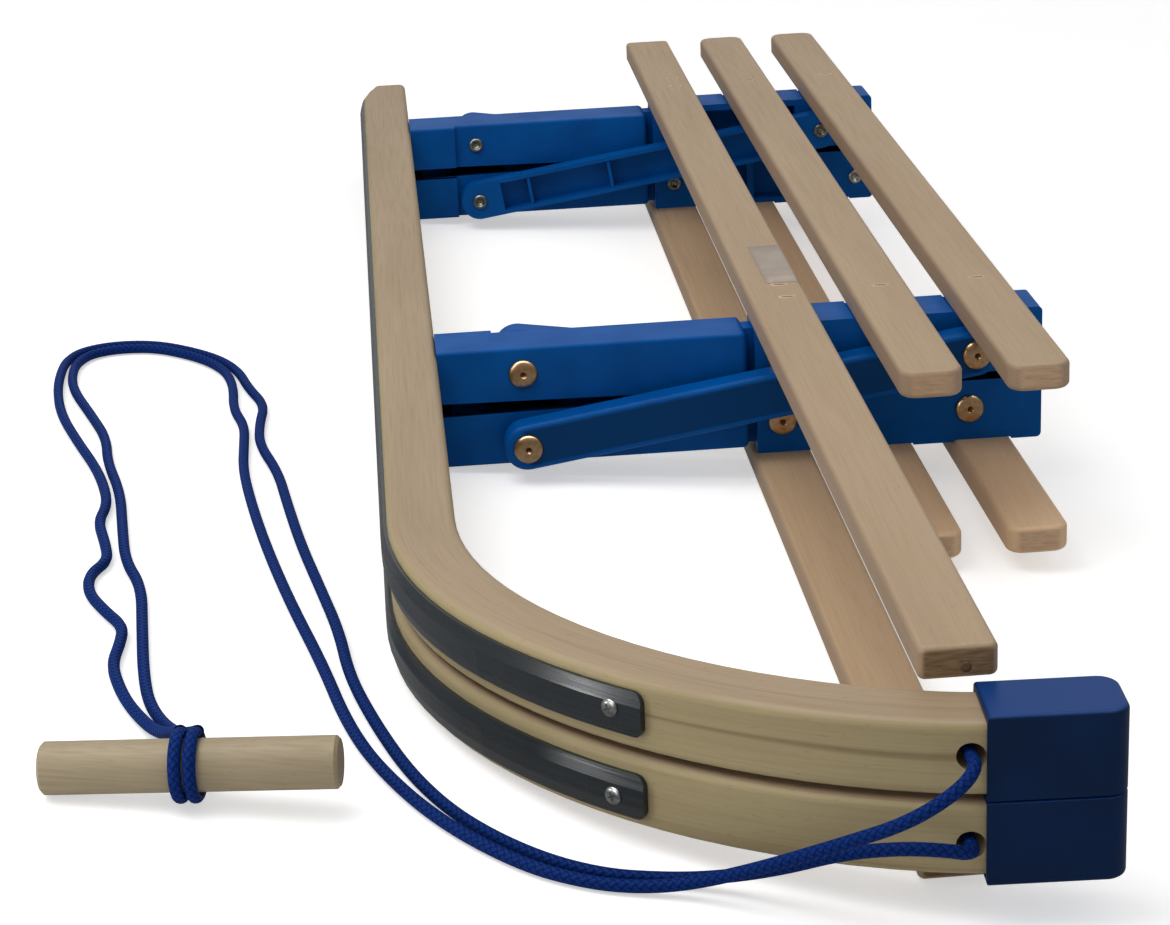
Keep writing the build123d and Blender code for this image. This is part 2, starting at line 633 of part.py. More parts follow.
def horn_inner_y():
    """The Y of the horn's inner face in line with the rope hole."""
    beside = ROPE_HOLE_Z + ROPE_HOLE_RADIUS + BEYOND
    probe = block(
        ROPE_HOLE_X - PROBE_HALF,
        ROPE_HOLE_X + PROBE_HALF,
        BEYOND_HORN_Y,
        BEND_START_Y,
        beside,
        beside + BEYOND,
    )
    return (runner() & probe).bounding_box().max.Y


def build():
    """Every node of the part in the tilted frame, before the origin is moved."""
    nodes = {}
    halves = {"upper": lambda p: p, "lower": lambda p: mirror(p, about=Plane.XY)}
    for half, place in halves.items():
        nodes[f"{half}_runner"] = place(runner())
        nodes[f"{half}_glide_strip"] = place(glide_strip())
        nodes[f"{half}_horn_cap"] = place(horn_cap())
        nodes[f"{half}_rope_knot"] = place(horn_knot())
        for name, centre, front_y, corner in SLATS:
            nodes[f"{half}_{name}_slat"] = place(slat(centre, front_y, corner))
    for member in MEMBER_Y:
        for (role, half), part in placed_member(member).items():
            name = role if role == "hinge_pin" else f"{half}_{role}"
            nodes[f"{member}_{name}"] = part
    tilt, floor = rest_tilt()
    lean = Pos(0, 0, -floor) * Rot(Y=-tilt)
    nodes = {name: lean * part for name, part in nodes.items()}
    return nodes


def rope_nodes():
    """The rope's two strands, its hitch and the handle, on the floor."""
    return {
        "upper_rope_strand": rope_tube(UPPER_ROUTE, "upper rope strand"),
        "lower_rope_strand": rope_tube(LOWER_ROUTE, "lower rope strand"),
        "rope_hitch": rope_hitch(),
        "pull_handle": pull_handle(),
    }


def print_joints(to_origin):
    """Every pivot in metres, in the part's own frame."""
    tilt, floor = rest_tilt()
    place = to_origin * Pos(0, 0, -floor) * Rot(Y=-tilt)
    pivots = [  # name, x, z
        ("lower leg pivot", 0, -PIVOT_Z),
        ("upper leg pivot", 0, PIVOT_Z),
        ("seat hinge", HINGE_X, 0),
        ("lower strut pivot", LEG_PIVOT_X, -PIVOT_Z),
        ("upper strut pivot", LEG_PIVOT_X, PIVOT_Z),
        ("lower strut end", STRUT_END_X, PIVOT_Z),
        ("upper strut end", STRUT_END_X, -PIVOT_Z),
    ]
    for name, x, z in pivots:
        spot = (place * Pos(x, 0, z)).position / 1000
        print(name, [round(value, 5) for value in spot])


def main():
    os.makedirs("parts", exist_ok=True)
    nodes = build()
    box = Compound(list(nodes.values())).bounding_box()
    middle = box.center()
    to_origin = Pos(-middle.X, -middle.Y, 0)
    print("tilt and floor", rest_tilt(), "origin shift", -middle.X, -middle.Y)
    print_joints(to_origin)
    nodes.update(rope_nodes())
    for name, part in nodes.items():
        export_step(to_origin * part, f"parts/{name}.step")


if __name__ == "__main__":
    main()
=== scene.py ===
"""A folding wooden sled, folded flat, with its pull rope laid out beside it."""
import json
import math
from itertools import pairwise

import bmesh
import bpy
from mathutils import Matrix, Vector

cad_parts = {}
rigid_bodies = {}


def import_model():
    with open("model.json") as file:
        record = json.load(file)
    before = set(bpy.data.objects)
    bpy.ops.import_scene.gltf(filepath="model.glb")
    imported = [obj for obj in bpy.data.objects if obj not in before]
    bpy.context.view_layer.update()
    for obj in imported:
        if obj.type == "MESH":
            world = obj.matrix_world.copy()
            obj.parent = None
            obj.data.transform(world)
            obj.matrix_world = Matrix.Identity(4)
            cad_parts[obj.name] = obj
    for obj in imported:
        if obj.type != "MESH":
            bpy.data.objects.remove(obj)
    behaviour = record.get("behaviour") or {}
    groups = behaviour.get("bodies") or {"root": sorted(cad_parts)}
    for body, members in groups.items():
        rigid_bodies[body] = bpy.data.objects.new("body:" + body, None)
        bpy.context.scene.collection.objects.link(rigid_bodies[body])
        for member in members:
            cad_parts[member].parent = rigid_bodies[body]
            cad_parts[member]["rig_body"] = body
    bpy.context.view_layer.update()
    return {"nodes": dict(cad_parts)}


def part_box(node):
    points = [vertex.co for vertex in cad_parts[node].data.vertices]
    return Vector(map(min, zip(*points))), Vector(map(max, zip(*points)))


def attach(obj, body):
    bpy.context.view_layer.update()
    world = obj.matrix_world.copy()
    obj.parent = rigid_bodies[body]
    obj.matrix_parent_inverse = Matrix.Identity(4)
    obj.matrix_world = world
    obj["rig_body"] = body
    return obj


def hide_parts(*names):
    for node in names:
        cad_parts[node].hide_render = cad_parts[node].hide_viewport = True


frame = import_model()
nodes = frame["nodes"]

MM = 0.001

# The sled's own axes lean against the floor, because it rests on a slat's edge and on the side
# of the lower runner.
LEAN = math.radians(5.116157)
ORIGIN = Vector((0.03216608, -0.08527567, 0.0))
SLED_AT = ORIGIN + Vector((0, 0, 0.0468968))


def along_sled(x, y, z):
    """A direction on the sled's own axes, as it lies above the floor."""
    return Matrix.Rotation(-LEAN, 3, "Y") @ Vector((x, y, z))


def from_sled(x, y, z):
    """A point given in millimetres on the sled's own axes, in metres above the floor."""
    return along_sled(x, y, z) * MM + SLED_AT


def in_scene(name, data):
    """An object for this data, linked to the scene."""
    made = bpy.data.objects.new(name, data)
    bpy.context.scene.collection.objects.link(made)
    return made


# The camera, its place and its angles in millimetres and radians on the sled's own axes.
PHOTO_WIDE = 1170
FOCAL_PX = 2888.47
SENSOR_MM = 36
CAMERA_AT = (-191.44, -1342.82, 457.09)
YAW, PITCH, ROLL = -0.0687, 0.3483, -0.0440

ahead = Vector(
    (-math.sin(YAW) * math.cos(PITCH), math.cos(YAW) * math.cos(PITCH), -math.sin(PITCH))
)
level_right = Vector((math.cos(YAW), math.sin(YAW), 0))
level_up = level_right.cross(ahead)
right = math.cos(ROLL) * level_right + math.sin(ROLL) * level_up
up = math.cos(ROLL) * level_up - math.sin(ROLL) * level_right
aimed = Matrix([along_sled(*right), along_sled(*up), -along_sled(*ahead)]).transposed()
camera_data = bpy.data.cameras.new("photo_camera")
camera_data.sensor_fit = "HORIZONTAL"
camera_data.sensor_width = SENSOR_MM
camera_data.lens = FOCAL_PX / PHOTO_WIDE * SENSOR_MM
camera_data.clip_end = 20
camera = in_scene("photo_camera", camera_data)
camera.matrix_world = Matrix.Translation(from_sled(*CAMERA_AT)) @ aimed.to_4x4()
bpy.context.scene.camera = camera


def linear(code):
    """An sRGB colour such as #A08060, as the linear colour that a shader takes."""
    shades = [int(code[i : i + 2], 16) / 255 for i in (1, 3, 5)]
    return [s / 12.92 if s <= 0.04045 else ((s + 0.055) / 1.055) ** 2.4 for s in shades] + [1.0]


WHITE = linear("#FFFFFF")


def set_inputs(tree, node, inputs):
    """Sets a node's inputs. A socket is linked, and anything else is the input's value."""
    for key, value in inputs.items():
        socket = node.inputs[key]
        if isinstance(key, str):
            socket = next(s for s in node.inputs if s.name == key and s.enabled)
        if isinstance(value, bpy.types.NodeSocket):
            tree.links.new(value, socket)
        else:
            socket.default_value = value


def put(tree, kind, inputs=None, **settings):
    """Adds a node with its settings and its inputs."""
    made = tree.nodes.new(kind)
    for name, value in settings.items():
        setattr(made, name, value)
    set_inputs(tree, made, inputs or {})
    return made


def start_material(name, constants):
    """A material with one Principled shader, its node tree, and the shader with its constants."""
    made = bpy.data.materials.new(name)
    made.use_nodes = True
    shader = made.node_tree.nodes["Principled BSDF"]
    set_inputs(made.node_tree, shader, constants)
    return made, made.node_tree, shader


# Coordinates that patterns follow
def sled_mm(tree):
    """Object coordinates as millimetres on the sled's own axes."""
    place = put(tree, "ShaderNodeTexCoord").outputs["Object"]
    shift = Matrix.Rotation(LEAN, 3, "Y") @ -(SLED_AT / MM)
    return put(
        tree,
        "ShaderNodeMapping",
        {"Vector": place, "Location": shift, "Rotation": (0, LEAN, 0), "Scale": [1 / MM] * 3},
    ).outputs["Vector"]


# The runner's bend, seen from above: the radius in millimetres and the turn of each arc.
RUNNER_INNER_X = -169.3
BEND_START_Y = -217.0
BEND_ARCS = [(205.3, 31), (229.0, 43), (110.0, 13)]


def bent_mm(tree):
    """Across, along and up coordinates in millimetres that follow the runner round its bend."""
    place = sled_mm(tree)
    parts = put(tree, "ShaderNodeSeparateXYZ", {0: place})
    across = put(
        tree, "ShaderNodeMath", {0: RUNNER_INNER_X, 1: parts.outputs["X"]}, operation="SUBTRACT"
    ).outputs[0]
    along = put(
        tree, "ShaderNodeMath", {0: BEND_START_Y, 1: parts.outputs["Y"]}, operation="SUBTRACT"
    ).outputs[0]
    flat = put(
        tree, "ShaderNodeVectorMath", {0: place, 1: (1, 1, 0)}, operation="MULTIPLY"
    ).outputs[0]
    joint = Vector((RUNNER_INNER_X, BEND_START_Y, 0))
    heading, out, passed = Vector((0, -1, 0)), Vector((-1, 0, 0)), 0.0
    straight_horn = (0, 0)
    for radius, degrees in [*BEND_ARCS, straight_horn]:
        centre = joint - out * radius
        arm = put(
            tree, "ShaderNodeVectorMath", {0: flat, 1: centre}, operation="SUBTRACT"
        ).outputs[0]
        ahead_by = put(
            tree, "ShaderNodeVectorMath", {0: arm, 1: heading}, operation="DOT_PRODUCT"
        ).outputs["Value"]
        out_by = put(
            tree, "ShaderNodeVectorMath", {0: arm, 1: out}, operation="DOT_PRODUCT"
        ).outputs["Value"]
        if radius:
            reach = put(
                tree, "ShaderNodeVectorMath", {0: arm}, operation="LENGTH"
            ).outputs["Value"]
            new_across = put(
                tree, "ShaderNodeMath", {0: reach, 1: radius}, operation="SUBTRACT"
            ).outputs[0]
            angle = put(
                tree, "ShaderNodeMath", {0: ahead_by, 1: out_by}, operation="ARCTAN2"
            ).outputs[0]
            new_along = put(
                tree,
                "ShaderNodeMath",
                {0: angle, 1: radius, 2: passed},
                operation="MULTIPLY_ADD",
            ).outputs[0]
        else:
            new_across = out_by
            new_along = put(
                tree, "ShaderNodeMath", {0: ahead_by, 1: passed}, operation="ADD"
            ).outputs[0]
        beyond = put(
            tree, "ShaderNodeMath", {0: ahead_by, 1: 0.0}, operation="GREATER_THAN"
        ).outputs[0]
        across = put(
            tree, "ShaderNodeMix", {"Factor": beyond, "A": across, "B": new_across}
        ).outputs["Result"]
        along = put(
            tree, "ShaderNodeMix", {"Factor": beyond, "A": along, "B": new_along}
        ).outputs["Result"]
        turn = Matrix.Rotation(math.radians(degrees), 3, "Z")
        joint = centre + turn @ out * radius
        heading, out = turn @ heading, turn @ out
        passed += radius * math.radians(degrees)
    return put(
        tree, "ShaderNodeCombineXYZ", {0: across, 1: along, 2: parts.outputs["Z"]}
    ).outputs[0]


# The handle lies turned from the X axis by this, in degrees.
HANDLE_YAW = 8.2


def dowel_mm(tree):
    """Across, along and up coordinates in millimetres of the pull handle."""
    place = put(tree, "ShaderNodeTexCoord").outputs["Object"]
    turn = (0, 0, math.radians(90 + HANDLE_YAW))
    return put(
        tree, "ShaderNodeMapping", {"Vector": place, "Rotation": turn, "Scale": [1 / MM] * 3}
    ).outputs["Vector"]


# Masks by the way that a face looks, and by its place
def turned_from(tree, axis, low, high):
    """How far a face looks along an axis, either way, from 0 at low to 1 at high."""
    facing = put(
        tree, "ShaderNodeSeparateXYZ", {0: put(tree, "ShaderNodeTexCoord").outputs["Normal"]}
    ).outputs[axis]
    facing = put(tree, "ShaderNodeMath", {0: facing}, operation="ABSOLUTE").outputs[0]
    return put(
        tree, "ShaderNodeMapRange", {"Value": facing, "From Min": low, "From Max": high}
    ).outputs["Result"]


def away_from(tree, place, origin, way, low, high):
    """A mask that is 1 up to low millimetres from a plane, and 0 beyond high."""
    arm = put(
        tree, "ShaderNodeVectorMath", {0: place, 1: origin}, operation="SUBTRACT"
    ).outputs[0]
    reach = put(
        tree, "ShaderNodeVectorMath", {0: arm, 1: way}, operation="DOT_PRODUCT"
    ).outputs["Value"]
    reach = put(tree, "ShaderNodeMath", {0: reach}, operation="ABSOLUTE").outputs[0]
    return put(
        tree,
        "ShaderNodeMapRange",
        {"Value": reach, "From Min": low, "From Max": high, "To Min": 1.0, "To Max": 0.0},
    ).outputs["Result"]


# Beech shows a warm ground, faint growth lines along the stick, short dark flecks, and a browner,
# duller end where the saw crossed the fibres. The faces that look up or down take a top colour of
# their own, a tint painted for how the light falls on them.
def beech(name, coordinates, top, side, line, *, top_lines, side_lines, fibre, seed, end=None):
    """Planed beech under a thin satin lacquer, its grain along the second coordinate."""
    made, tree, shader = start_material(name, {"IOR": 1.5, "Specular IOR Level": 0.32})
    place = coordinates(tree)

    def streak(size_mm, detail, between, depth):
        """Noise of a size across and along the stick, spread from 0 up to a depth."""
        across_mm, along_mm = size_mm
        low, high = between
        # The seed moves the pattern, so that no two finishes show the same marks.
        stretched = put(
            tree,
            "ShaderNodeMapping",
            {
                "Vector": place,
                "Location": (seed * 3.7, seed * 11.3, seed * 5.1),
                "Scale": (1 / across_mm, 1 / along_mm, 1 / across_mm),
            },
        ).outputs["Vector"]
        spread = put(
            tree,
            "ShaderNodeTexNoise",
            {"Vector": stretched, "Scale": 1.0, "Detail": detail, "Roughness": 0.55},
        ).outputs["Fac"]
        return put(
            tree,
            "ShaderNodeMapRange",
            {"Value": spread, "From Min": low, "From Max": high, "To Max": depth},
        ).outputs["Result"]

    flat = turned_from(tree, "Z", 0.55, 0.9)
    clouds = streak((22, 180), detail=2, between=(0.35, 0.68), depth=0.16)
    fibres = streak((0.9, 46), detail=3, between=(0.45, 0.80), depth=fibre)
    flecks = streak((0.8, 4.5), detail=1, between=(0.68, 0.75), depth=0.22)
    bends = streak((60, 150), detail=1, between=(0.0, 1.0), depth=1.0)
    # Growth lines four millimetres apart wander by up to six, and each runs for 700.
    lines_per_mm, wander_mm, run_mm = 0.24, 6.0, 700
    parts = put(tree, "ShaderNodeSeparateXYZ", {0: place})
    over_face = put(
        tree,
        "ShaderNodeMix",
        {"Factor": flat, "A": parts.outputs["Z"], "B": parts.outputs["X"]},
    ).outputs["Result"]
    wander = put(
        tree, "ShaderNodeMath", {0: bends, 1: wander_mm, 2: over_face}, operation="MULTIPLY_ADD"
    ).outputs[0]
    across = put(
        tree, "ShaderNodeMath", {0: wander, 1: lines_per_mm}, operation="MULTIPLY"
    ).outputs[0]
    along = put(
        tree, "ShaderNodeMath", {0: parts.outputs["Y"], 1: 1 / run_mm}, operation="MULTIPLY"
    ).outputs[0]
    line_at = put(tree, "ShaderNodeCombineXYZ", {0: across, 1: along, 2: seed * 2.3}).outputs[0]
    bands = put(
        tree, "ShaderNodeTexNoise", {"Vector": line_at, "Scale": 1.0, "Detail": 1.5}
    ).outputs["Fac"]
    line_depth = put(
        tree, "ShaderNodeMix", {"Factor": flat, "A": side_lines, "B": top_lines}
    ).outputs["Result"]
    rings = put(
        tree,
        "ShaderNodeMapRange",
        {"Value": bands, "From Min": 0.60, "From Max": 0.70, "To Max": line_depth},
    ).outputs["Result"]
    # The top colour is a tint painted for how the light falls on faces that look up or down.
    layers = [(flat, linear(top))]
    layers += [(marks, linear(line)) for marks in (clouds, rings, fibres, flecks)]
    if end:
        aslant = put(
            tree,
            "ShaderNodeMapping",
            {"Vector": place, "Rotation": (0, 0.9, 0), "Scale": (0.16, 1.0, 1.1)},
        ).outputs["Vector"]
        pores = put(
            tree, "ShaderNodeTexNoise", {"Vector": aslant, "Scale": 1.0, "Detail": 3.0}
        ).outputs["Fac"]
        pores = put(
            tree, "ShaderNodeMapRange", {"Value": pores, "From Min": 0.30, "From Max": 0.70}
        ).outputs["Result"]
        sawn = put(
            tree,
            "ShaderNodeMix",
            {"Factor": pores, "A": linear(end[0]), "B": linear(end[1])},
            data_type="RGBA",
        ).outputs[2]
        layers.append((turned_from(tree, "Y", 0.86, 0.99), sawn))
    colour = linear(side)
    for mask, over in layers:
        colour = put(
            tree, "ShaderNodeMix", {"Factor": mask, "A": colour, "B": over}, data_type="RGBA"
        ).outputs[2]
    dull = put(
        tree,
        "ShaderNodeMapRange",
        {"Value": fibres, "From Max": fibre, "To Min": 0.46, "To Max": 0.66},
    ).outputs["Result"]
    relief = put(tree, "ShaderNodeMath", {0: fibres, 1: rings}, operation="ADD").outputs[0]
    bump = put(
        tree,
        "ShaderNodeBump",
        {"Height": relief, "Strength": 0.25, "Distance": 0.00025},
        invert=True,
    ).outputs["Normal"]
    set_inputs(tree, shader, {"Base Color": colour, "Roughness": dull, "Normal": bump})
    return made


# Steam-bent runners: the laminations show as brown lines that keep their height round the bend.
bent_beech = beech(
    "bent_beech", bent_mm, "#AC967A", "#AD9D76", "#65502F",
    top_lines=0.16, side_lines=0.45, fibre=0.20, seed=1,
)
# Slats: a little redder than the runners and plainer. The long inner slats' ends are a darker
# brown, and the short ones' ends paler. The low slats are painted paler, as painted light that
# makes up for the shade that the upper slats cast on them.
SLAT_LINES = {"top_lines": 0.08, "side_lines": 0.16, "fibre": 0.13}
DARK_END_GRAIN = ("#94795A", "#6E573C")
PALE_END_GRAIN = ("#C9A98B", "#B39170")
inner_slat_beech = beech(
    "planed_beech_long_slat", sled_mm, "#B29A7C", "#AC937A", "#7A5C3C",
    **SLAT_LINES, seed=2, end=DARK_END_GRAIN,
)
slat_beech = beech(
    "planed_beech_slat", sled_mm, "#B29A7C", "#AC937A", "#7A5C3C",
    **SLAT_LINES, seed=3, end=PALE_END_GRAIN,
)
# Painted light: the two low finishes are lighter copies of the slat beech, set against the upper
# slats' shade.
lightened_low_long_slat_beech = beech(
    "planed_beech_low_long_slat", sled_mm, "#C6A886", "#B59A7C", "#7A5C3C",
    **SLAT_LINES, seed=5, end=DARK_END_GRAIN,
)
lightened_low_slat_beech = beech(
    "planed_beech_low_slat", sled_mm, "#E0BD97", "#E0BD97", "#946F4A",
    top_lines=0.08, side_lines=0.12, fibre=0.13, seed=7, end=PALE_END_GRAIN,
)
# The dowel is greyer, and turned smooth.
dowel_beech = beech(
    "turned_beech_dowel", dowel_mm, "#A99A7E", "#A4957A", "#6A5836",
    top_lines=0.12, side_lines=0.12, fibre=0.30, seed=5,
)
# The staples' dents are paler where the fibres are torn, and their slits are painted dark brown
# as the shade inside them.
DENT_LINES = {"top_lines": 0.1, "side_lines": 0.1, "fibre": 0.1}
torn_beech = beech(
    "torn_beech", sled_mm, "#D2BC9C", "#D2BC9C", "#8A6E4C", **DENT_LINES, seed=4
)
slit_shade = beech(
    "staple_slit_dirt", sled_mm, "#6B5238", "#6B5238", "#3E2D1C", **DENT_LINES, seed=6
)


# Injection-moulded polypropylene: an even blue with flow marks thirty millimetres long, a
# pebble of one millimetre, and a soft sheen that turns lilac where it faces the light.
def moulded_plastic(
    name, colour, shade, patch=None, patch_colour=None, *, roughness=0.42, gloss=0.09
):
    """A moulded plastic. The patch gives masks, a gloss and a depth where the colour differs, for
    painted shade or painted light.
    """
    made, tree, shader = start_material(name, {"IOR": 1.49})
    place = sled_mm(tree)
    flow = put(
        tree, "ShaderNodeTexNoise", {"Vector": place, "Scale": 0.035, "Detail": 3.0}
    ).outputs["Fac"]
    spread = put(
        tree, "ShaderNodeMapRange", {"Value": flow, "From Min": 0.35, "From Max": 0.65}
    ).outputs["Result"]
    mixed = put(
        tree,
        "ShaderNodeMix",
        {"Factor": spread, "A": linear(colour), "B": linear(shade)},
        data_type="RGBA",
    ).outputs[2]
    pebble = put(
        tree, "ShaderNodeTexNoise", {"Vector": place, "Scale": 1.1, "Detail": 2.0}
    ).outputs["Fac"]
    bump = put(
        tree, "ShaderNodeBump", {"Height": pebble, "Strength": 0.12, "Distance": 0.0002}
    ).outputs["Normal"]
    if patch:
        (mask, *others), patch_gloss, depth = patch(tree, place)
        for other in others:
            mask = put(
                tree, "ShaderNodeMath", {0: mask, 1: other}, operation="MULTIPLY"
            ).outputs[0]
        mixed = put(
            tree,
            "ShaderNodeMix",
            {"Factor": mask, "A": mixed, "B": linear(patch_colour)},
            data_type="RGBA",
        ).outputs[2]
        gloss = put(
            tree, "ShaderNodeMix", {"Factor": mask, "A": gloss, "B": patch_gloss}
        ).outputs[0]
        if depth:
            bump = put(
                tree,
                "ShaderNodeBump",
                {"Height": mask, "Strength": 0.6, "Distance": depth, "Normal": bump},
                invert=True,
            ).outputs["Normal"]
    sheen = put(
        tree,
        "ShaderNodeMapRange",
        {"Value": flow, "To Min": roughness - 0.08, "To Max": roughness + 0.08},
    ).outputs["Result"]
    set_inputs(
        tree,
        shader,
        {"Base Color": mixed, "Roughness": sheen, "Specular IOR Level": gloss, "Normal": bump},
    )
    return made


# The faces where the two halves meet, inside the gap between them, take painted shade: a
# near-black blue with no gloss, so that the gap looks black.
def gap_shade_faces(tree, place):
    """The flat faces within four millimetres of the middle plane, where the gap's shade is
    painted.
    """
    near = away_from(tree, place, Vector(), Vector((0, 0, 1)), 3.6, 4.4)
    return [near, turned_from(tree, "Z", 0.5, 0.8)], 0.0, 0.0


# The front struts' faces are sunk a little inside their rims by a bump, and the sunk part is
# painted darker as the shade in the recess.
# In millimetres: the line from pivot to pivot, and where the sunk part fades out past a pivot
# and to each side of the line.
STRUT_FROM = Vector((-127.5, 0, -16.6))
STRUT_TO = Vector((94.0, 0, 16.6))
SUNK_PAST = (-1.0, 1.5)
SUNK_BESIDE = (8.2, 9.6)


def sunk_and_shaded_face(side):
    """The sunk part of a strut's face, which takes painted shade. The side is 1 where the strut
    rises, -1 where it falls.
    """

    def patch(tree, place):
        middle = (STRUT_FROM + STRUT_TO) / 2
        heading = Vector((STRUT_TO.x - STRUT_FROM.x, 0, side * (STRUT_TO.z - STRUT_FROM.z)))
        half = heading.length / 2
        heading.normalize()
        across = Vector((-heading.z, 0, heading.x))
        masks = [
            away_from(tree, place, middle, heading, half + SUNK_PAST[0], half + SUNK_PAST[1]),
            away_from(tree, place, middle, across, *SUNK_BESIDE),
            turned_from(tree, "Y", 0.965, 0.975),
        ]
        return masks, 0.09, 0.0010

    return patch


# The caps' tops and undersides are painted a lighter blue, as painted light from above.
def painted_lit_tops(tree, place):
    """The faces that look up or down, where the lighter blue is painted."""
    return [turned_from(tree, "Z", 0.55, 0.95)], 0.12, 0.0


BLUES = ("#0055A2", "#004C94")
# The gap's near-black blue is painted shade.
GAP_SHADE_BLUE = "#00142E"
# The struts' sunk blue is painted shade in their recesses.
SUNK_SHADE_BLUE = "#00386C"
blue_plastic = moulded_plastic("blue_polypropylene", *BLUES, gap_shade_faces, GAP_SHADE_BLUE)
strut_plastic = moulded_plastic("blue_strut_polypropylene", *BLUES)
rising_plastic = moulded_plastic("rising_strut_polypropylene", *BLUES, sunk_and_shaded_face(1), SUNK_SHADE_BLUE)
falling_plastic = moulded_plastic("falling_strut_polypropylene", *BLUES, sunk_and_shaded_face(-1), SUNK_SHADE_BLUE)
# The cap's lighter blue, #0B3A78, is painted light on the faces that look up or down.
cap_plastic = moulded_plastic(
    "navy_polypropylene", "#06244C", "#052042", painted_lit_tops, "#0B3A78", roughness=0.36, gloss=0.12
)


# Extruded black polyethylene: dark grey, with drawn streaks 1.6 millimetres wide and sixty
# long, and a shine that breaks up over them.
def drawn_plastic():
    """A black plastic strip with streaks that follow the runner round its bend."""
    made, tree, shader = start_material(
        "drawn_black_polyethylene", {"IOR": 1.5, "Specular IOR Level": 0.55}
    )
    stretched = put(
        tree, "ShaderNodeMapping", {"Vector": bent_mm(tree), "Scale": (1 / 1.6, 1 / 60, 1 / 1.6)}
    ).outputs["Vector"]
    streaks = put(
        tree, "ShaderNodeTexNoise", {"Vector": stretched, "Scale": 1.0, "Detail": 4.0}
    ).outputs["Fac"]
    mixed = put(
        tree,
        "ShaderNodeMix",
        {"Factor": streaks, "A": linear("#171D20"), "B": linear("#252C30")},
        data_type="RGBA",
    ).outputs[2]
    sheen = put(
        tree, "ShaderNodeMapRange", {"Value": streaks, "To Min": 0.16, "To Max": 0.42}
    ).outputs["Result"]
    bump = put(
        tree, "ShaderNodeBump", {"Height": streaks, "Strength": 0.3, "Distance": 0.0003}
    ).outputs["Normal"]
    set_inputs(tree, shader, {"Base Color": mixed, "Roughness": sheen, "Normal": bump})
    return made


black_plastic = drawn_plastic()


# Zinc plate with a yellow passivate is a brassy metal, cloudy from handling. The screws and the
# eyelets are a brighter silver plate, and the rivets' tails a darker, duller one.
def plated_steel(name, colour, stain, roughness):
    """Plated steel, its colour clouded at about two millimetres."""
    made, tree, shader = start_material(name, {"Metallic": 1.0})
    place = put(tree, "ShaderNodeTexCoord").outputs["Object"]
    cloud = put(
        tree, "ShaderNodeTexNoise", {"Vector": place, "Scale": 420.0, "Detail": 3.0}
    ).outputs["Fac"]
    spread = put(
        tree, "ShaderNodeMapRange", {"Value": cloud, "From Min": 0.4, "From Max": 0.62}
    ).outputs["Result"]
    mixed = put(
        tree,
        "ShaderNodeMix",
        {"Factor": spread, "A": linear(colour), "B": linear(stain)},
        data_type="RGBA",
    ).outputs[2]
    sheen = put(
        tree,
        "ShaderNodeMapRange",
        {"Value": cloud, "To Min": roughness - 0.1, "To Max": roughness + 0.12},
    ).outputs["Result"]
    set_inputs(tree, shader, {"Base Color": mixed, "Roughness": sheen})
    return made


brassy_plate = plated_steel("yellow_passivated_zinc_plate", "#CBAA84", "#B8946E", 0.30)
silver_plate = plated_steel("bright_zinc_plate", "#B2B3AF", "#8F8F8A", 0.30)
dull_plate = plated_steel("dull_zinc_plate", "#94968F", "#73736D", 0.36)
# The rivets' dimples are painted a dark brown and the screws' cross recesses a dark grey, as
# painted shade in these hollows.
dimple_shade = plated_steel("oiled_recess", "#6A4A36", "#4A3226", 0.5)
recess_shade = plated_steel("dusty_recess", "#6E7275", "#54585B", 0.5)


# Braided polypropylene cord: yarns cross in small lozenges, with painted shade, navy in the
# hollows, and a painted highlight, bright blue where the light catches a yarn. The real yarns are
# finer, and these are drawn as coarse as they need to be to show.
def braided_cord():
    """A braid read from the cord's own UV map: metres along it, and turns round it."""
    made, tree, shader = start_material(
        "braided_blue_cord", {"IOR": 1.49, "Specular IOR Level": 0.06}
    )
    uv = put(tree, "ShaderNodeSeparateXYZ", {0: put(tree, "ShaderNodeUVMap").outputs[0]})
    lay_mm, yarns_each_way = 3.4, 5.0
    along = put(
        tree, "ShaderNodeMath", {0: uv.outputs["X"], 1: 1 / (lay_mm * MM)}, operation="MULTIPLY"
    ).outputs[0]
    families = []
    for way in (1, -1):
        phase = put(
            tree,
            "ShaderNodeMath",
            {0: uv.outputs["Y"], 1: way * yarns_each_way, 2: along},
            operation="MULTIPLY_ADD",
        ).outputs[0]
        whole = put(tree, "ShaderNodeMath", {0: phase}, operation="FLOOR").outputs[0]
        inside = put(tree, "ShaderNodeMath", {0: phase}, operation="FRACT").outputs[0]
        arch = put(
            tree, "ShaderNodeMath", {0: inside, 1: math.pi}, operation="MULTIPLY"
        ).outputs[0]
        arch = put(tree, "ShaderNodeMath", {0: arch}, operation="SINE").outputs[0]
        families.append((whole, arch))
    (first, first_arch), (second, second_arch) = families
    crossing = put(tree, "ShaderNodeMath", {0: first, 1: second}, operation="ADD").outputs[0]
    over = put(
        tree, "ShaderNodeMath", {0: crossing, 1: 2.0}, operation="FLOORED_MODULO"
    ).outputs[0]
    height = put(
        tree, "ShaderNodeMix", {"Factor": over, "A": first_arch, "B": second_arch}
    ).outputs["Result"]
    # Painted shade in the hollows and a painted highlight on the crowns, by the yarns' height.
    mixed = put(
        tree,
        "ShaderNodeMix",
        {"Factor": height, "A": linear("#04143C"), "B": linear("#093078")},
        data_type="RGBA",
    ).outputs[2]
    sheen = put(
        tree, "ShaderNodeMapRange", {"Value": height, "To Min": 0.72, "To Max": 0.5}
    ).outputs["Result"]
    bump = put(
        tree, "ShaderNodeBump", {"Height": height, "Strength": 0.6, "Distance": 0.0004}
    ).outputs["Normal"]
    set_inputs(tree, shader, {"Base Color": mixed, "Roughness": sheen, "Normal": bump})
    return made


rope_braid = braided_cord()


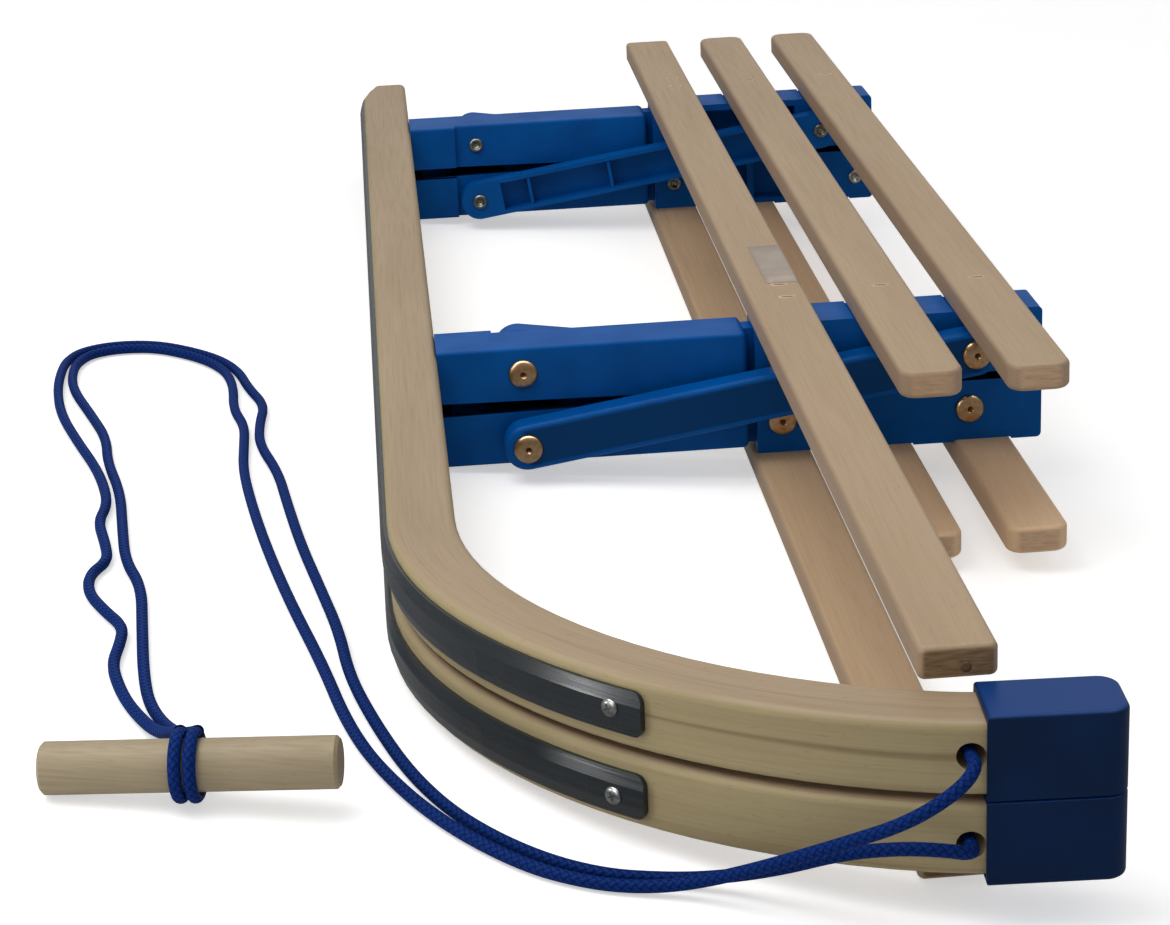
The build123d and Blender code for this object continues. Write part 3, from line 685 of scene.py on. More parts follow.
# Thin polypropylene film: a white gone grey, rubbed in patches six millimetres wide.
def worn_film():
    """A thin label film, greyed and rubbed with use."""
    made, tree, shader = start_material("worn_label_film", {"IOR": 1.49})
    rub = put(
        tree, "ShaderNodeTexNoise", {"Vector": sled_mm(tree), "Scale": 0.16, "Detail": 5.0}
    ).outputs["Fac"]
    spread = put(
        tree, "ShaderNodeMapRange", {"Value": rub, "From Min": 0.35, "From Max": 0.7}
    ).outputs["Result"]
    mixed = put(
        tree,
        "ShaderNodeMix",
        {"Factor": spread, "A": linear("#A39589"), "B": linear("#9C8D7E")},
        data_type="RGBA",
    ).outputs[2]
    sheen = put(
        tree, "ShaderNodeMapRange", {"Value": rub, "To Min": 0.3, "To Max": 0.6}
    ).outputs["Result"]
    set_inputs(tree, shader, {"Base Color": mixed, "Roughness": sheen})
    return made


label_film = worn_film()

# The carried-over solids: the first of these words that a solid's name holds gives its finish.
FINISHES = [
    ("runner", bent_beech),
    ("lower_inner_slat", lightened_low_long_slat_beech),
    ("inner_slat", inner_slat_beech),
    ("lower_middle_slat", lightened_low_slat_beech),
    ("lower_outer_slat", lightened_low_slat_beech),
    ("slat", slat_beech),
    ("handle", dowel_beech),
    ("cap", cap_plastic),
    ("strip", black_plastic),
    ("rivet", brassy_plate),
    ("pin", brassy_plate),
    ("rope", rope_braid),
    ("front_lower_strut", rising_plastic),
    ("front_upper_strut", falling_plastic),
    ("strut", strut_plastic),
    ("", blue_plastic),
]
for name, node in nodes.items():
    node.data.materials.clear()
    node.data.materials.append(next(finish for word, finish in FINISHES if word in name))


# Meshes and pieces
def turn_angles(count):
    """Even angles round one turn, in radians."""
    return [2 * math.pi * k / count for k in range(count)]


def to_mesh(form, name):
    """The mesh of a worked form, which is let go."""
    mesh = bpy.data.meshes.new(name)
    form.to_mesh(mesh)
    form.free()
    return mesh


def evaluated_mesh(holder):
    """A plain mesh of what an object's modifiers give. The object is let go."""
    bpy.context.view_layer.update()
    ready = holder.evaluated_get(bpy.context.evaluated_depsgraph_get())
    mesh = bpy.data.meshes.new_from_object(ready)
    bpy.data.objects.remove(holder)
    return mesh


def joined(name, meshes):
    """One mesh made of several, each keeping its finish. The several are let go."""
    whole = bmesh.new()
    finishes = []
    for mesh in meshes:
        first = len(whole.faces)
        whole.from_mesh(mesh)
        whole.faces.ensure_lookup_table()
        for face in whole.faces[first:]:
            finish = mesh.materials[face.material_index]
            if finish not in finishes:
                finishes.append(finish)
            face.material_index = finishes.index(finish)
        bpy.data.meshes.remove(mesh)
    result = to_mesh(whole, name)
    for finish in finishes:
        result.materials.append(finish)
    return result


def add_piece(name, mesh, body, *stands_for, slot):
    """A finished piece in the scene, riding on its body."""
    piece = in_scene(name, mesh)
    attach(piece, body)
    if stands_for:
        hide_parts(*stands_for)
    return piece


def read_curve(points, name):
    """The points that a smooth spline through the given route gives."""
    data = bpy.data.curves.new(name, "CURVE")
    data.dimensions = "3D"
    data.resolution_u = 16
    spline = data.splines.new("NURBS")
    spline.points.add(len(points) - 1)
    for spot, place in zip(spline.points, points, strict=True):
        spot.co = (*place, 1.0)
    spline.order_u = 3
    spline.use_endpoint_u = True
    guide = bpy.data.objects.new(name, data)
    read = bpy.data.meshes.new_from_object(guide)
    places = [vertex.co.copy() for vertex in read.vertices]
    bpy.data.objects.remove(guide)
    bpy.data.curves.remove(data)
    bpy.data.meshes.remove(read)
    return places


ROPE_D = 0.005


def rope_tube(name, places, radius=ROPE_D / 2, closed=False, sides=14):
    """A braided tube along the places, with a UV map of metres along it and turns round it."""
    form = bmesh.new()
    uv_layer = form.loops.layers.uv.new("UVMap")
    count = len(places)
    steps = [0.0]
    for a, b in pairwise(places):
        steps.append(steps[-1] + (b - a).length)
    headings = []
    for i in range(count):
        before = places[i - 1] if closed or i else places[0]
        after = places[(i + 1) % count] if closed or i + 1 < count else places[-1]
        headings.append((after - before).normalized())
    side = headings[0].orthogonal().normalized()
    rings = []
    for place, heading in zip(places, headings, strict=True):
        side = (side - heading * side.dot(heading)).normalized()
        other = heading.cross(side)
        ring = [
            place + side * radius * math.cos(a) + other * radius * math.sin(a)
            for a in turn_angles(sides)
        ]
        rings.append([form.verts.new(spot) for spot in ring])
    total = steps[-1] + (places[0] - places[-1]).length
    for i in range(count if closed else count - 1):
        j = (i + 1) % count
        ends = (steps[i], steps[j] if j else total)
        for k in range(sides):
            m = (k + 1) % sides
            face = form.faces.new([rings[i][k], rings[i][m], rings[j][m], rings[j][k]])
            face.smooth = True
            spots = [(ends[0], k), (ends[0], k + 1), (ends[1], k + 1), (ends[1], k)]
            for loop, (u, v) in zip(face.loops, spots, strict=True):
                loop[uv_layer].uv = (u, v / sides)
    if not closed:
        form.faces.new(list(reversed(rings[0])))
        form.faces.new(rings[-1])
    bmesh.ops.recalc_face_normals(form, faces=form.faces)
    mesh = to_mesh(form, name)
    mesh.materials.append(rope_braid)
    return mesh


# The rope's routes, in metres: from each horn's hole, down to the floor, and back to the handle.
UPPER_ROUTE = [
    (-0.0030, -0.4580, 0.0637), (-0.0030, -0.4650, 0.0637), (-0.0120, -0.4725, 0.0575),
    (-0.0280, -0.4730, 0.0465), (-0.0480, -0.4630, 0.0335), (-0.0720, -0.4495, 0.0175),
    (-0.0940, -0.4385, 0.0055), (-0.1120, -0.4360, 0.0025), (-0.1310, -0.4325, 0.0025),
    (-0.1540, -0.4190, 0.0025), (-0.1820, -0.3850, 0.0025), (-0.2035, -0.3405, 0.0025),
    (-0.2155, -0.2990, 0.0025), (-0.2250, -0.2430, 0.0025), (-0.2385, -0.1790, 0.0025),
    (-0.2500, -0.1150, 0.0025), (-0.2585, -0.0570, 0.0025), (-0.2640, -0.0080, 0.0025),
    (-0.2645, 0.0280, 0.0025), (-0.2650, 0.0580, 0.0025), (-0.2715, 0.0840, 0.0025),
    (-0.2725, 0.1210, 0.0025), (-0.2770, 0.1460, 0.0025), (-0.2860, 0.1630, 0.0025),
    (-0.2990, 0.1760, 0.0025), (-0.3170, 0.1865, 0.0025), (-0.3360, 0.1840, 0.0025),
    (-0.3500, 0.1745, 0.0025), (-0.3565, 0.1600, 0.0025), (-0.3585, 0.1420, 0.0025),
    (-0.3560, 0.1120, 0.0025), (-0.3430, 0.0700, 0.0025), (-0.3330, 0.0350, 0.0025),
    (-0.3300, 0.0000, 0.0025), (-0.3210, -0.0420, 0.0025), (-0.3170, -0.0880, 0.0025),
    (-0.3130, -0.1300, 0.0025), (-0.3040, -0.1600, 0.0025), (-0.3010, -0.2050, 0.0025),
    (-0.2975, -0.2550, 0.0025), (-0.2930, -0.2870, 0.0025), (-0.2835, -0.3120, 0.0040),
    (-0.2760, -0.3370, 0.0145), (-0.2713, -0.3600, 0.0265),
]
LOWER_ROUTE = [
    (0.0000, -0.4580, 0.0298), (-0.0015, -0.4640, 0.0306), (-0.0110, -0.4675, 0.0338),
    (-0.0265, -0.4640, 0.0328), (-0.0440, -0.4530, 0.0252), (-0.0640, -0.4425, 0.0135),
    (-0.0840, -0.4330, 0.0050), (-0.1030, -0.4295, 0.0025), (-0.1260, -0.4265, 0.0025),
    (-0.1500, -0.4115, 0.0025), (-0.1740, -0.3830, 0.0025), (-0.1910, -0.3470, 0.0025),
    (-0.2040, -0.3010, 0.0025), (-0.2140, -0.2540, 0.0025), (-0.2180, -0.2080, 0.0025),
    (-0.2260, -0.1600, 0.0025), (-0.2350, -0.1070, 0.0025), (-0.2420, -0.0530, 0.0025),
    (-0.2470, -0.0100, 0.0025), (-0.2570, 0.0300, 0.0025), (-0.2575, 0.0620, 0.0025),
    (-0.2555, 0.0920, 0.0025), (-0.2645, 0.1190, 0.0025), (-0.2705, 0.1480, 0.0025),
    (-0.2810, 0.1675, 0.0025), (-0.2965, 0.1820, 0.0025), (-0.3170, 0.1930, 0.0025),
    (-0.3385, 0.1905, 0.0025), (-0.3555, 0.1785, 0.0025), (-0.3630, 0.1610, 0.0025),
    (-0.3645, 0.1380, 0.0025), (-0.3635, 0.1080, 0.0025), (-0.3585, 0.0710, 0.0025),
    (-0.3470, 0.0300, 0.0025), (-0.3350, -0.0080, 0.0025), (-0.3285, -0.0380, 0.0025),
    (-0.3260, -0.0600, 0.0025), (-0.3285, -0.0820, 0.0025), (-0.3235, -0.1080, 0.0025),
    (-0.3205, -0.1300, 0.0025), (-0.3275, -0.1470, 0.0025), (-0.3265, -0.1680, 0.0025),
    (-0.3180, -0.1880, 0.0025), (-0.3090, -0.2050, 0.0025), (-0.3090, -0.2220, 0.0025),
    (-0.3110, -0.2450, 0.0025), (-0.3060, -0.2700, 0.0025), (-0.2995, -0.2900, 0.0025),
    (-0.2900, -0.3120, 0.0040), (-0.2825, -0.3370, 0.0145), (-0.2777, -0.3590, 0.0260),
]

# The handle lies on its low end and on the rope wound round it. All in metres: where that end
# lies, the dowel's radius, the hitch's place along it, half the distance between the two wraps,
# and the gap between rope and dowel.
HANDLE_END_AT = (-0.3287, -0.3580)
HANDLE_RADIUS = 0.010
HITCH_AT = 0.055
HITCH_SPREAD = 0.0028
HITCH_GAP = 0.00015
WRAP_MIDDLE = HANDLE_RADIUS + ROPE_D / 2 + HITCH_GAP
handle_rise = math.atan2(ROPE_D + HITCH_GAP, HITCH_AT - HITCH_SPREAD)
handle_end = ORIGIN + Vector((*HANDLE_END_AT, HANDLE_RADIUS * math.cos(handle_rise)))
handle_turn = Matrix.Rotation(math.radians(-HANDLE_YAW), 3, "Z") @ Matrix.Rotation(
    -handle_rise, 3, "Y"
)


def on_handle(along, round_degrees, out):
    """A point beside the dowel: 0 degrees is its back, 90 its top and 180 its front."""
    angle = math.radians(round_degrees)
    local = Vector((along, out * math.cos(angle), out * math.sin(angle)))
    return handle_end + handle_turn @ local


# How thick the rope stays where a wrap is pulled tight, as a share of its diameter.
PRESSED_TO = 0.82


def pressed(spot):
    """A spot of a wrap, pressed towards the dowel by the pull on the rope."""
    local = handle_turn.inverted() @ (spot - handle_end)
    out = math.hypot(local.y, local.z)
    scale = (HANDLE_RADIUS + (out - HANDLE_RADIUS) * PRESSED_TO) / out
    return handle_end + handle_turn @ Vector((local.x, local.y * scale, local.z * scale))


# The loop between the wraps: the share of the spread, the degrees round and the metres out.
HITCH_LOOP = [
    (-1, 20, 0.0), (-1, -4, 0.0018), (-0.8, -22, 0.0036), (0, -27, 0.0042),
    (0.8, -22, 0.0036), (1, -4, 0.0018), (1, 20, 0.0),
]


def cow_hitch():
    """Two wraps round the dowel, and the loop that joins them low at its back."""
    parts = []
    for side in (-1, 1):
        along = HITCH_AT + side * HITCH_SPREAD
        ring = [on_handle(along, degrees, WRAP_MIDDLE) for degrees in range(0, 360, 5)]
        wrap = rope_tube("wrap", ring, closed=True)
        for spot in wrap.vertices:
            spot.co = pressed(spot.co)
        parts.append(wrap)
    loop = [
        on_handle(HITCH_AT + side * HITCH_SPREAD, angle, WRAP_MIDDLE + out)
        for side, angle, out in HITCH_LOOP
    ]
    parts.append(rope_tube("loop", read_curve(loop, "loop")))
    return joined("cow_hitch", parts)


# A horn's knot, in metres: its middle from the back of its solid, the size of its turns, and
# how far they weave. Its rope is drawn a little thinner, and its tail's spots are in millimetres.
KNOT_BACK = 0.0070
KNOT_TURN = 0.00178
KNOT_WEAVE = 0.0024
KNOT_RADIUS = ROPE_D / 2 * 0.96
KNOT_TAIL = [(0.5, 0.0, -1.0), (2.0, 3.0, -3.0), (4.0, 6.5, -6.0), (5.0, 11.0, -8.5)]
KNOT_STEPS = 84
SHANK_STEPS = 12


def end_knot(node):
    """An overhand knot behind a horn, with its shank through the hole and a short tail."""
    low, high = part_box(node)
    middle = Vector(((low.x + high.x) / 2, high.y - KNOT_BACK, (low.z + high.z) / 2))
    turns = []
    for a in turn_angles(KNOT_STEPS):
        x = (math.sin(a) + 2 * math.sin(2 * a)) * KNOT_TURN
        y = (0.5 - math.sin(3 * a)) * KNOT_WEAVE
        z = (math.cos(a) - 2 * math.cos(2 * a)) * KNOT_TURN
        turns.append(middle + Vector((x, y, z)))
    start = Vector((middle.x, low.y, middle.z))
    shank = [start.lerp(middle, k / SHANK_STEPS) for k in range(SHANK_STEPS + 1)]
    tail = read_curve([middle + Vector(spot) * MM for spot in KNOT_TAIL], "tail")
    parts = [
        rope_tube("part", places, KNOT_RADIUS, closed=places is turns)
        for places in (turns, shank, tail)
    ]
    return joined(f"{node}_tied", parts)


hitch = add_piece(
    "rope_hitch_tied", cow_hitch(), "lower_runner_half", "rope_hitch", slot="rope"
)
knots = {
    half: add_piece(
        f"{half}_rope_knot_tied",
        end_knot(f"{half}_rope_knot"),
        f"{half}_runner_half",
        f"{half}_rope_knot",
        slot="rope",
    )
    for half in ("upper", "lower")
}
for half, route, carried in (
    ("upper", UPPER_ROUTE, [hitch, "pull_handle"]),
    ("lower", LOWER_ROUTE, [knots["lower"]]),
):
    centreline = read_curve([ORIGIN + Vector(p) for p in route], f"{half}_route")
    strand = add_piece(
        f"{half}_rope_braid",
        rope_tube(f"{half}_rope_braid", centreline),
        "lower_runner_half",
        f"{half}_rope_strand",
        slot="rope",
    )


# Small turned and lens-shaped forms
def ringed_mesh(name, rings):
    """A closed form through rings of places in millimetres. A ring of one place is a pole."""
    form = bmesh.new()
    rows = [[form.verts.new(Vector(place) * MM) for place in ring] for ring in rings]
    sides = max(map(len, rows))
    for a, b in pairwise(rows):
        for k in range(sides):
            m = (k + 1) % sides
            corners = [a[k % len(a)], a[m % len(a)], b[m % len(b)], b[k % len(b)]]
            form.faces.new(list(dict.fromkeys(corners))).smooth = True
    for end in (list(reversed(rows[0])), rows[-1]):
        if len(end) > 1:
            form.faces.new(end)
    bmesh.ops.recalc_face_normals(form, faces=form.faces)
    return to_mesh(form, name)


def turned_mesh(name, profile, sides=40):
    """A closed form turned about Y from a profile of radius and height in millimetres."""
    return ringed_mesh(
        name,
        [
            [
                (radius * math.cos(a), height, radius * math.sin(a))
                for a in turn_angles(sides if radius else 1)
            ]
            for radius, height in profile
        ],
    )


def lens_mesh(name, rows, sides=20):
    """A lens-shaped mark, long in X, from rows of half length, half width and height."""
    return ringed_mesh(
        name,
        [
            [(long * math.cos(a), wide * math.sin(a), high) for a in turn_angles(sides)]
            for long, wide, high in rows
        ],
    )


# Rivet forms stand on the face they clamp, at height 0, and point along +Y.
HEAD_FORM = [
    (0, -0.4), (7.15, -0.1), (7.2, 0.45), (7.12, 0.95), (6.9, 1.4), (6.5, 1.78), (5.9, 2.08),
    (5.0, 2.34), (4.0, 2.54), (3.0, 2.7), (2.2, 2.78), (1.75, 2.72), (1.5, 2.5), (1.3, 2.1),
    (1.0, 1.7), (0.5, 1.5), (0, 1.45),
]
DIMPLE_FORM = [(0, 1.3), (1.12, 1.8), (0.9, 1.76), (0.5, 1.6), (0, 1.54)]
TAIL_FORM = [
    (0, -0.4), (4.5, -0.1), (4.6, 0.5), (4.5, 1.1), (4.1, 1.6), (3.5, 1.78), (2.9, 1.7),
    (2.45, 1.35), (2.3, 0.9), (2.2, 0.2), (0, 0.1),
]
head_form = turned_mesh("rivet_head_form", HEAD_FORM)
tail_form = turned_mesh("rivet_tail_form", TAIL_FORM)
dimple_form = turned_mesh("rivet_dimple_form", DIMPLE_FORM, sides=20)


def scatter_tree():
    """Geometry nodes that set one form at every point, turned and finished."""
    tree = bpy.data.node_groups.new("set_at_points", "GeometryNodeTree")
    face = tree.interface
    face.new_socket("Geometry", in_out="INPUT", socket_type="NodeSocketGeometry")
    face.new_socket("Form", in_out="INPUT", socket_type="NodeSocketObject")
    face.new_socket("Turn", in_out="INPUT", socket_type="NodeSocketRotation")
    face.new_socket("Finish", in_out="INPUT", socket_type="NodeSocketMaterial")
    face.new_socket("Geometry", in_out="OUTPUT", socket_type="NodeSocketGeometry")
    given = put(tree, "NodeGroupInput")
    form = put(tree, "GeometryNodeObjectInfo", {"Object": given.outputs["Form"]})
    points = put(tree, "GeometryNodeMeshToPoints", {"Mesh": given.outputs["Geometry"]})
    placed = put(
        tree,
        "GeometryNodeInstanceOnPoints",
        {
            "Points": points.outputs[0],
            "Instance": form.outputs["Geometry"],
            "Rotation": given.outputs["Turn"],
        },
    )
    real = put(tree, "GeometryNodeRealizeInstances", {0: placed.outputs[0]})
    done = put(
        tree,
        "GeometryNodeSetMaterial",
        {"Geometry": real.outputs[0], "Material": given.outputs["Finish"]},
    )
    put(tree, "NodeGroupOutput", {0: done.outputs[0]})
    return tree


SCATTER = scatter_tree()


def set_at_points(places, form, turn, finish):
    """A plain mesh with the form at each place, turned by an Euler rotation."""
    seeds = bpy.data.meshes.new("seeds")
    seeds.from_pydata([tuple(p) for p in places], [], [])
    carrier = in_scene("carrier", seeds)
    modifier = carrier.modifiers.new("scatter", "NODES")
    modifier.node_group = SCATTER
    sockets = {s.name: s.identifier for s in SCATTER.interface.items_tree if s.in_out == "INPUT"}
    holder = bpy.data.objects.new(form.name, form)
    modifier[sockets["Form"]] = holder
    modifier[sockets["Turn"]] = turn
    modifier[sockets["Finish"]] = finish
    mesh = evaluated_mesh(carrier)
    bpy.data.objects.remove(holder)
    bpy.data.meshes.remove(seeds)
    return mesh


# Every rivet head and tail, with its shank, gathered by the body that carries it. The heights
# and the head's width are those of the rivets' solids, in metres. The shank's radius is in
# millimetres, as the forms are.
HEAD_HIGH, TAIL_HIGH, HEAD_WIDE = 0.0030, 0.0018, 0.0144
SHANK_RADIUS = 2.95
RIVET_ENDS = {
    "head": [(head_form, brassy_plate), (dimple_form, dimple_shade)],
    "tail": [(tail_form, dull_plate)],
}
by_body = {}
for name in sorted(n for n in nodes if n.endswith("rivet")):
    by_body.setdefault(nodes[name]["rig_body"], []).append(name)
for body, names in by_body.items():
    ends, parts = {}, []
    for name in names:
        low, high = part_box(name)
        middle = (low + high) / 2
        head_way = -1 if name.startswith("front") else 1
        seat_y = {-1: low.y, 1: high.y}
        headed = high.x - low.x > HEAD_WIDE - MM
        tailed = not headed or "leg" in name or "pivot" in name
        if headed:
            seat_y[head_way] -= head_way * HEAD_HIGH
            spot = (middle.x, seat_y[head_way], middle.z)
            ends.setdefault(("head", head_way), []).append(spot)
        if tailed:
            seat_y[-head_way] += head_way * TAIL_HIGH
            spot = (middle.x, seat_y[-head_way], middle.z)
            ends.setdefault(("tail", -head_way), []).append(spot)
        length = (seat_y[1] - seat_y[-1]) / MM
        profile = [(0, 0), (SHANK_RADIUS, 0), (SHANK_RADIUS, length), (0, length)]
        shank = turned_mesh("shank", profile, sides=24)
        shank.transform(Matrix.Translation((middle.x, seat_y[-1], middle.z)))
        shank.materials.append(silver_plate)
        parts.append(shank)
    for (kind, way), places in ends.items():
        turn = (0.0, 0.0, 0.0) if way > 0 else (math.pi, 0.0, 0.0)
        for form, finish in RIVET_ENDS[kind]:
            parts.append(set_at_points(places, form, turn, finish))
    rivets = joined(f"{body}_rivets", parts)
    add_piece(f"{body}_rivets", rivets, body, *names, slot="plated_steel")


def set_on(mesh, node, place, across):
    """Sets a form on a CAD node at the nearest spot, its Y out of the face and its X across."""
    _, spot, facing, _ = nodes[node].closest_point_on_mesh(place)
    out = facing.normalized()
    side = (across - out * across.dot(out)).normalized()
    turn = Matrix([side, out, side.cross(out)]).transposed().to_4x4()
    mesh.transform(Matrix.Translation(spot) @ turn)


# A small eyelet shows near the outer end of the two brackets that no strut covers there. Its
# place is in millimetres on the sled's own axes, and so are those of the screws and the hole.
EYELET_X, EYELET_Z = 119, 19.5
for member, half, y, side in (("rear", "lower", 478, -1), ("front", "upper", 30, 1)):
    bracket = f"{member}_{half}_bracket"
    mesh = tail_form.copy()
    set_on(mesh, bracket, from_sled(EYELET_X, y, side * EYELET_Z), along_sled(1, 0, 0))
    mesh.materials.append(silver_plate)
    body = nodes[bracket]["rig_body"]
    add_piece(f"{member}_{half}_eyelet", mesh, body, slot="plated_steel")

# Cross-head screws hold the strips' front ends. The cross is two thin blades, in metres, dark
# grey as painted shade in the recess.
SCREW_FORM = [
    (0, -0.3), (3.5, -0.1), (3.6, 0.25), (3.45, 0.6), (2.9, 0.95), (1.9, 1.2), (0, 1.3),
]
CROSS_BLADE = (0.0036, 0.0006, 0.0008, 1)
CROSS_HEIGHT = 0.00102
CROSS_TURNS = (25, 115)
SCREW_AT = (-121, -395, 17.6)


def cross_screw(half, side):
    """A pan-head screw on the strip, with its cross recess in painted shade."""
    head = turned_mesh("screw_head", SCREW_FORM, sides=32)
    head.materials.append(silver_plate)
    blades = bmesh.new()
    for degrees in CROSS_TURNS:
        turn = Matrix.Rotation(math.radians(degrees), 4, "Y")
        made = bmesh.ops.create_cube(blades, size=1, matrix=turn @ Matrix.Diagonal(CROSS_BLADE))
        bmesh.ops.translate(blades, vec=(0, CROSS_HEIGHT, 0), verts=made["verts"])
    recess = to_mesh(blades, "recess")
    recess.materials.append(recess_shade)
    screw = joined(f"{half}_strip_screw", [head, recess])
    x, y, z = SCREW_AT
    set_on(screw, f"{half}_glide_strip", from_sled(x, y, side * z), along_sled(0, 0, 1))
    add_piece(f"{half}_strip_screw", screw, f"{half}_runner_half", slot="plated_steel")


cross_screw("upper", 1)
cross_screw("lower", -1)

# Staples are sunk across the slats over each cross-member, and leave a lens-shaped dent with a
# torn, paler rim. Places are x and y on the sled's own axes.
STAPLES = [
    (3.4, 26.0), (4.1, 4.4), (4.1, 508.9), (3.5, 484.8), (52.0, 14.0), (51.5, 490.0),
    (101.0, 17.0), (102.6, 494.0),
]
SLAT_TOP_Z = 46.0
rim_form = lens_mesh(
    "staple_rim", [(4.6, 2.2, -0.2), (4.6, 2.2, 0.02), (4.1, 1.7, 0.28), (3.2, 1.0, 0.08)]
)
slit_form = lens_mesh(
    "staple_slit", [(3.3, 0.95, -0.2), (3.3, 0.95, 0.1), (2.0, 0.4, 0.12)]
)
for half, side in (("upper", 1), ("lower", -1)):
    spots = [from_sled(x, y, side * SLAT_TOP_Z) for x, y in STAPLES]
    lean = (0.0, -LEAN, 0.0) if side > 0 else (math.pi, -LEAN, 0.0)
    rims = set_at_points(spots, rim_form, lean, torn_beech)
    slits = set_at_points(spots, slit_form, lean, slit_shade)
    marks = joined(f"{half}_staple_marks", [rims, slits])
    add_piece(f"{half}_staple_marks", marks, f"{half}_seat_half", slot="beech")

# The label, in millimetres on the inner slat's section: the slat's side and the radius of its
# edge, the film's height above the wood, its own thickness, and how far down the side it comes.
SLAT_SIDE_X = 14.5
SLAT_EDGE = 2.5
FILM_LIFT = 0.06
FILM_THICK = 0.10
LABEL_DOWN_TO_Z = 41.2
LABEL_TOP_X = (-3.0, 2.0, 7.0, 12.0)
LABEL_ROWS_Y = (29.0, 46.0, 63.0, 80.0, 97.0)
LABEL_STEPS = 8


def blank_label():
    """A blank film label on the inner slat, lapped over the slat's edge."""
    bend = SLAT_EDGE + FILM_LIFT
    centre_x, centre_z = SLAT_SIDE_X - SLAT_EDGE, SLAT_TOP_Z - SLAT_EDGE
    line = [(x, centre_z + bend) for x in LABEL_TOP_X]
    for k in range(1, LABEL_STEPS + 1):
        angle = math.radians(90 - 90 * k / LABEL_STEPS)
        line.append((centre_x + bend * math.cos(angle), centre_z + bend * math.sin(angle)))
    line.append((centre_x + bend, LABEL_DOWN_TO_Z))
    form = bmesh.new()
    rows = [[form.verts.new(from_sled(x, y, z)) for x, z in line] for y in LABEL_ROWS_Y]
    for a, b in pairwise(rows):
        for k in range(len(line) - 1):
            form.faces.new([a[k], a[k + 1], b[k + 1], b[k]]).smooth = True
    bmesh.ops.recalc_face_normals(form, faces=form.faces)
    form.normal_update()
    if sum(face.normal.z * face.calc_area() for face in form.faces) < 0:
        bmesh.ops.reverse_faces(form, faces=form.faces)
    sheet = in_scene("label_sheet", to_mesh(form, "label_sheet"))
    wall = sheet.modifiers.new("wall", "SOLIDIFY")
    wall.thickness = FILM_THICK * MM
    wall.offset = 1.0
    mesh = evaluated_mesh(sheet)
    mesh.materials.append(label_film)
    return mesh


add_piece("blank_label", blank_label(), "upper_seat_half", slot="beech")

# The centre hole that shows in the inner slat's sawn front end: a flat disc in the slits' painted
# shade.
END_HOLE = [(0, -0.2), (1.9, -0.05), (2.0, 0.06), (1.2, 0.03), (0, 0.02)]
END_HOLE_AT = (2.6, -426, 37.5)
end_mark = turned_mesh("slat_end_mark", END_HOLE, sides=24)
set_on(end_mark, "upper_inner_slat", from_sled(*END_HOLE_AT), along_sled(1, 0, 0))
end_mark.materials.append(slit_shade)
add_piece("slat_end_mark", end_mark, "upper_seat_half", slot="beech")


# Floor, backdrop and light
def pale_floor():
    """A white floor that keeps the sled's shadow."""
    made, tree, shader = start_material(
        "white_floor", {"Roughness": 0.9, "Base Color": linear("#F4F4F4")}
    )
    path = put(tree, "ShaderNodeLightPath")
    glow = put(tree, "ShaderNodeEmission", {"Color": WHITE, "Strength": 0.5})
    both = put(tree, "ShaderNodeAddShader", {0: shader.outputs[0], 1: glow.outputs[0]})
    dim = put(tree, "ShaderNodeEmission", {"Color": WHITE, "Strength": 0.28})
    mirrored = put(
        tree,
        "ShaderNodeMixShader",
        {"Fac": path.outputs["Is Glossy Ray"], 1: shader.outputs[0], 2: dim.outputs[0]},
    )
    seen = put(
        tree,
        "ShaderNodeMixShader",
        {"Fac": path.outputs["Is Camera Ray"], 1: mirrored.outputs[0], 2: both.outputs[0]},
    )
    tree.links.new(seen.outputs[0], tree.nodes["Material Output"].inputs["Surface"])
    return made


# The floor's sides in metres. It lies a hair under the sled and its rope.
LEFT, RIGHT, NEAR, FAR, UNDER = -6, 6, -6, 9, -0.0006
floor_mesh = bpy.data.meshes.new("floor")
corners = [(LEFT, NEAR, UNDER), (RIGHT, NEAR, UNDER), (RIGHT, FAR, UNDER), (LEFT, FAR, UNDER)]
floor_mesh.from_pydata(corners, [], [(0, 1, 2, 3)])
floor_mesh.materials.append(pale_floor())
floor = in_scene("floor", floor_mesh)


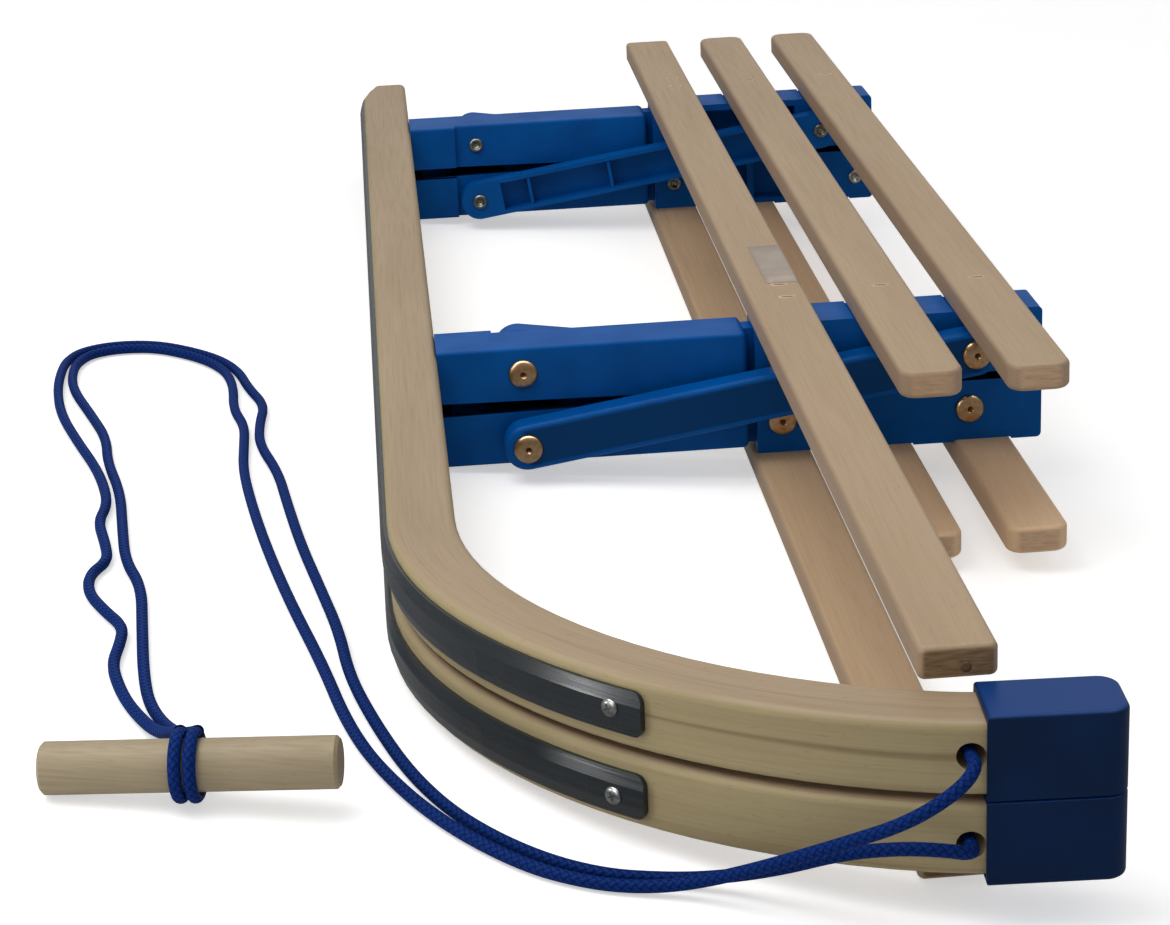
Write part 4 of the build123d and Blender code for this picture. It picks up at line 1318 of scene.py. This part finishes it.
def white_room():
    """A white backdrop, a plain level of light, and a room for the gloss to mirror."""
    world = bpy.data.worlds.new("white_room")
    bpy.context.scene.world = world
    world.use_nodes = True
    tree = world.node_tree
    plain = tree.nodes["Background"]
    set_inputs(tree, plain, {"Color": WHITE, "Strength": 0.42})
    white = put(tree, "ShaderNodeBackground", {"Color": WHITE, "Strength": 1.0})
    rays = put(tree, "ShaderNodeLightPath")
    looking = put(tree, "ShaderNodeTexCoord").outputs["Generated"]
    toward = put(tree, "ShaderNodeSeparateXYZ", {0: looking})
    walls = put(
        tree,
        "ShaderNodeMapRange",
        {"Value": toward.outputs["Z"], "From Max": 0.45, "To Min": 0.3, "To Max": 0.75},
    ).outputs["Result"]
    behind = put(
        tree,
        "ShaderNodeMapRange",
        {"Value": toward.outputs["Y"], "From Min": -0.3, "From Max": 0.6, "To Min": 0.5},
    ).outputs["Result"]
    ceiling = put(
        tree,
        "ShaderNodeMapRange",
        {"Value": toward.outputs["Z"], "From Min": 0.72, "From Max": 0.92, "To Max": 3.4},
    ).outputs["Result"]
    window = put(
        tree,
        "ShaderNodeVectorMath",
        {0: looking, 1: Vector((-0.74, -0.62, 0.24)).normalized()},
        operation="DOT_PRODUCT",
    ).outputs["Value"]
    window = put(
        tree,
        "ShaderNodeMapRange",
        {"Value": window, "From Min": 0.93, "From Max": 0.985, "To Max": 4.0},
    ).outputs["Result"]
    room = put(
        tree, "ShaderNodeMath", {0: walls, 1: behind, 2: ceiling}, operation="MULTIPLY_ADD"
    ).outputs[0]
    room = put(tree, "ShaderNodeMath", {0: room, 1: window}, operation="ADD").outputs[0]
    mirrored = put(tree, "ShaderNodeBackground", {"Color": WHITE, "Strength": room})
    shown = put(
        tree,
        "ShaderNodeMath",
        {0: rays.outputs["Is Camera Ray"], 1: rays.outputs["Is Transmission Ray"]},
        operation="MAXIMUM",
    ).outputs[0]
    mix = put(
        tree,
        "ShaderNodeMixShader",
        {"Fac": rays.outputs["Is Glossy Ray"], 1: plain.outputs[0], 2: mirrored.outputs[0]},
    ).outputs[0]
    mix = put(
        tree, "ShaderNodeMixShader", {"Fac": shown, 1: mix, 2: white.outputs[0]}
    ).outputs[0]
    tree.links.new(mix, tree.nodes["World Output"].inputs["Surface"])


white_room()


def soft_lamp(name, place, aim, size, watts):
    """A square soft light that points at a spot. The picture doesn't show the light itself."""
    data = bpy.data.lights.new(name, "AREA")
    data.size = size
    data.energy = watts
    lamp = in_scene(name, data)
    lamp.location = place
    lamp.rotation_euler = (Vector(aim) - Vector(place)).to_track_quat("-Z", "Y").to_euler()
    lamp.visible_camera = False


soft_lamp("key_lamp", (-0.7, -0.45, 1.2), aim=(0.0, -0.2, 0.0), size=1.0, watts=9.5)
# A small low light gives the gleam in the glide strips' upper bevels, near the horns.
soft_lamp("low_lamp", (-0.6, -0.53, 0.035), aim=(-0.1, -0.47, 0.057), size=0.07, watts=0.32)

bpy.context.scene.view_settings.view_transform = "Standard"

bpy.context.view_layer.update()
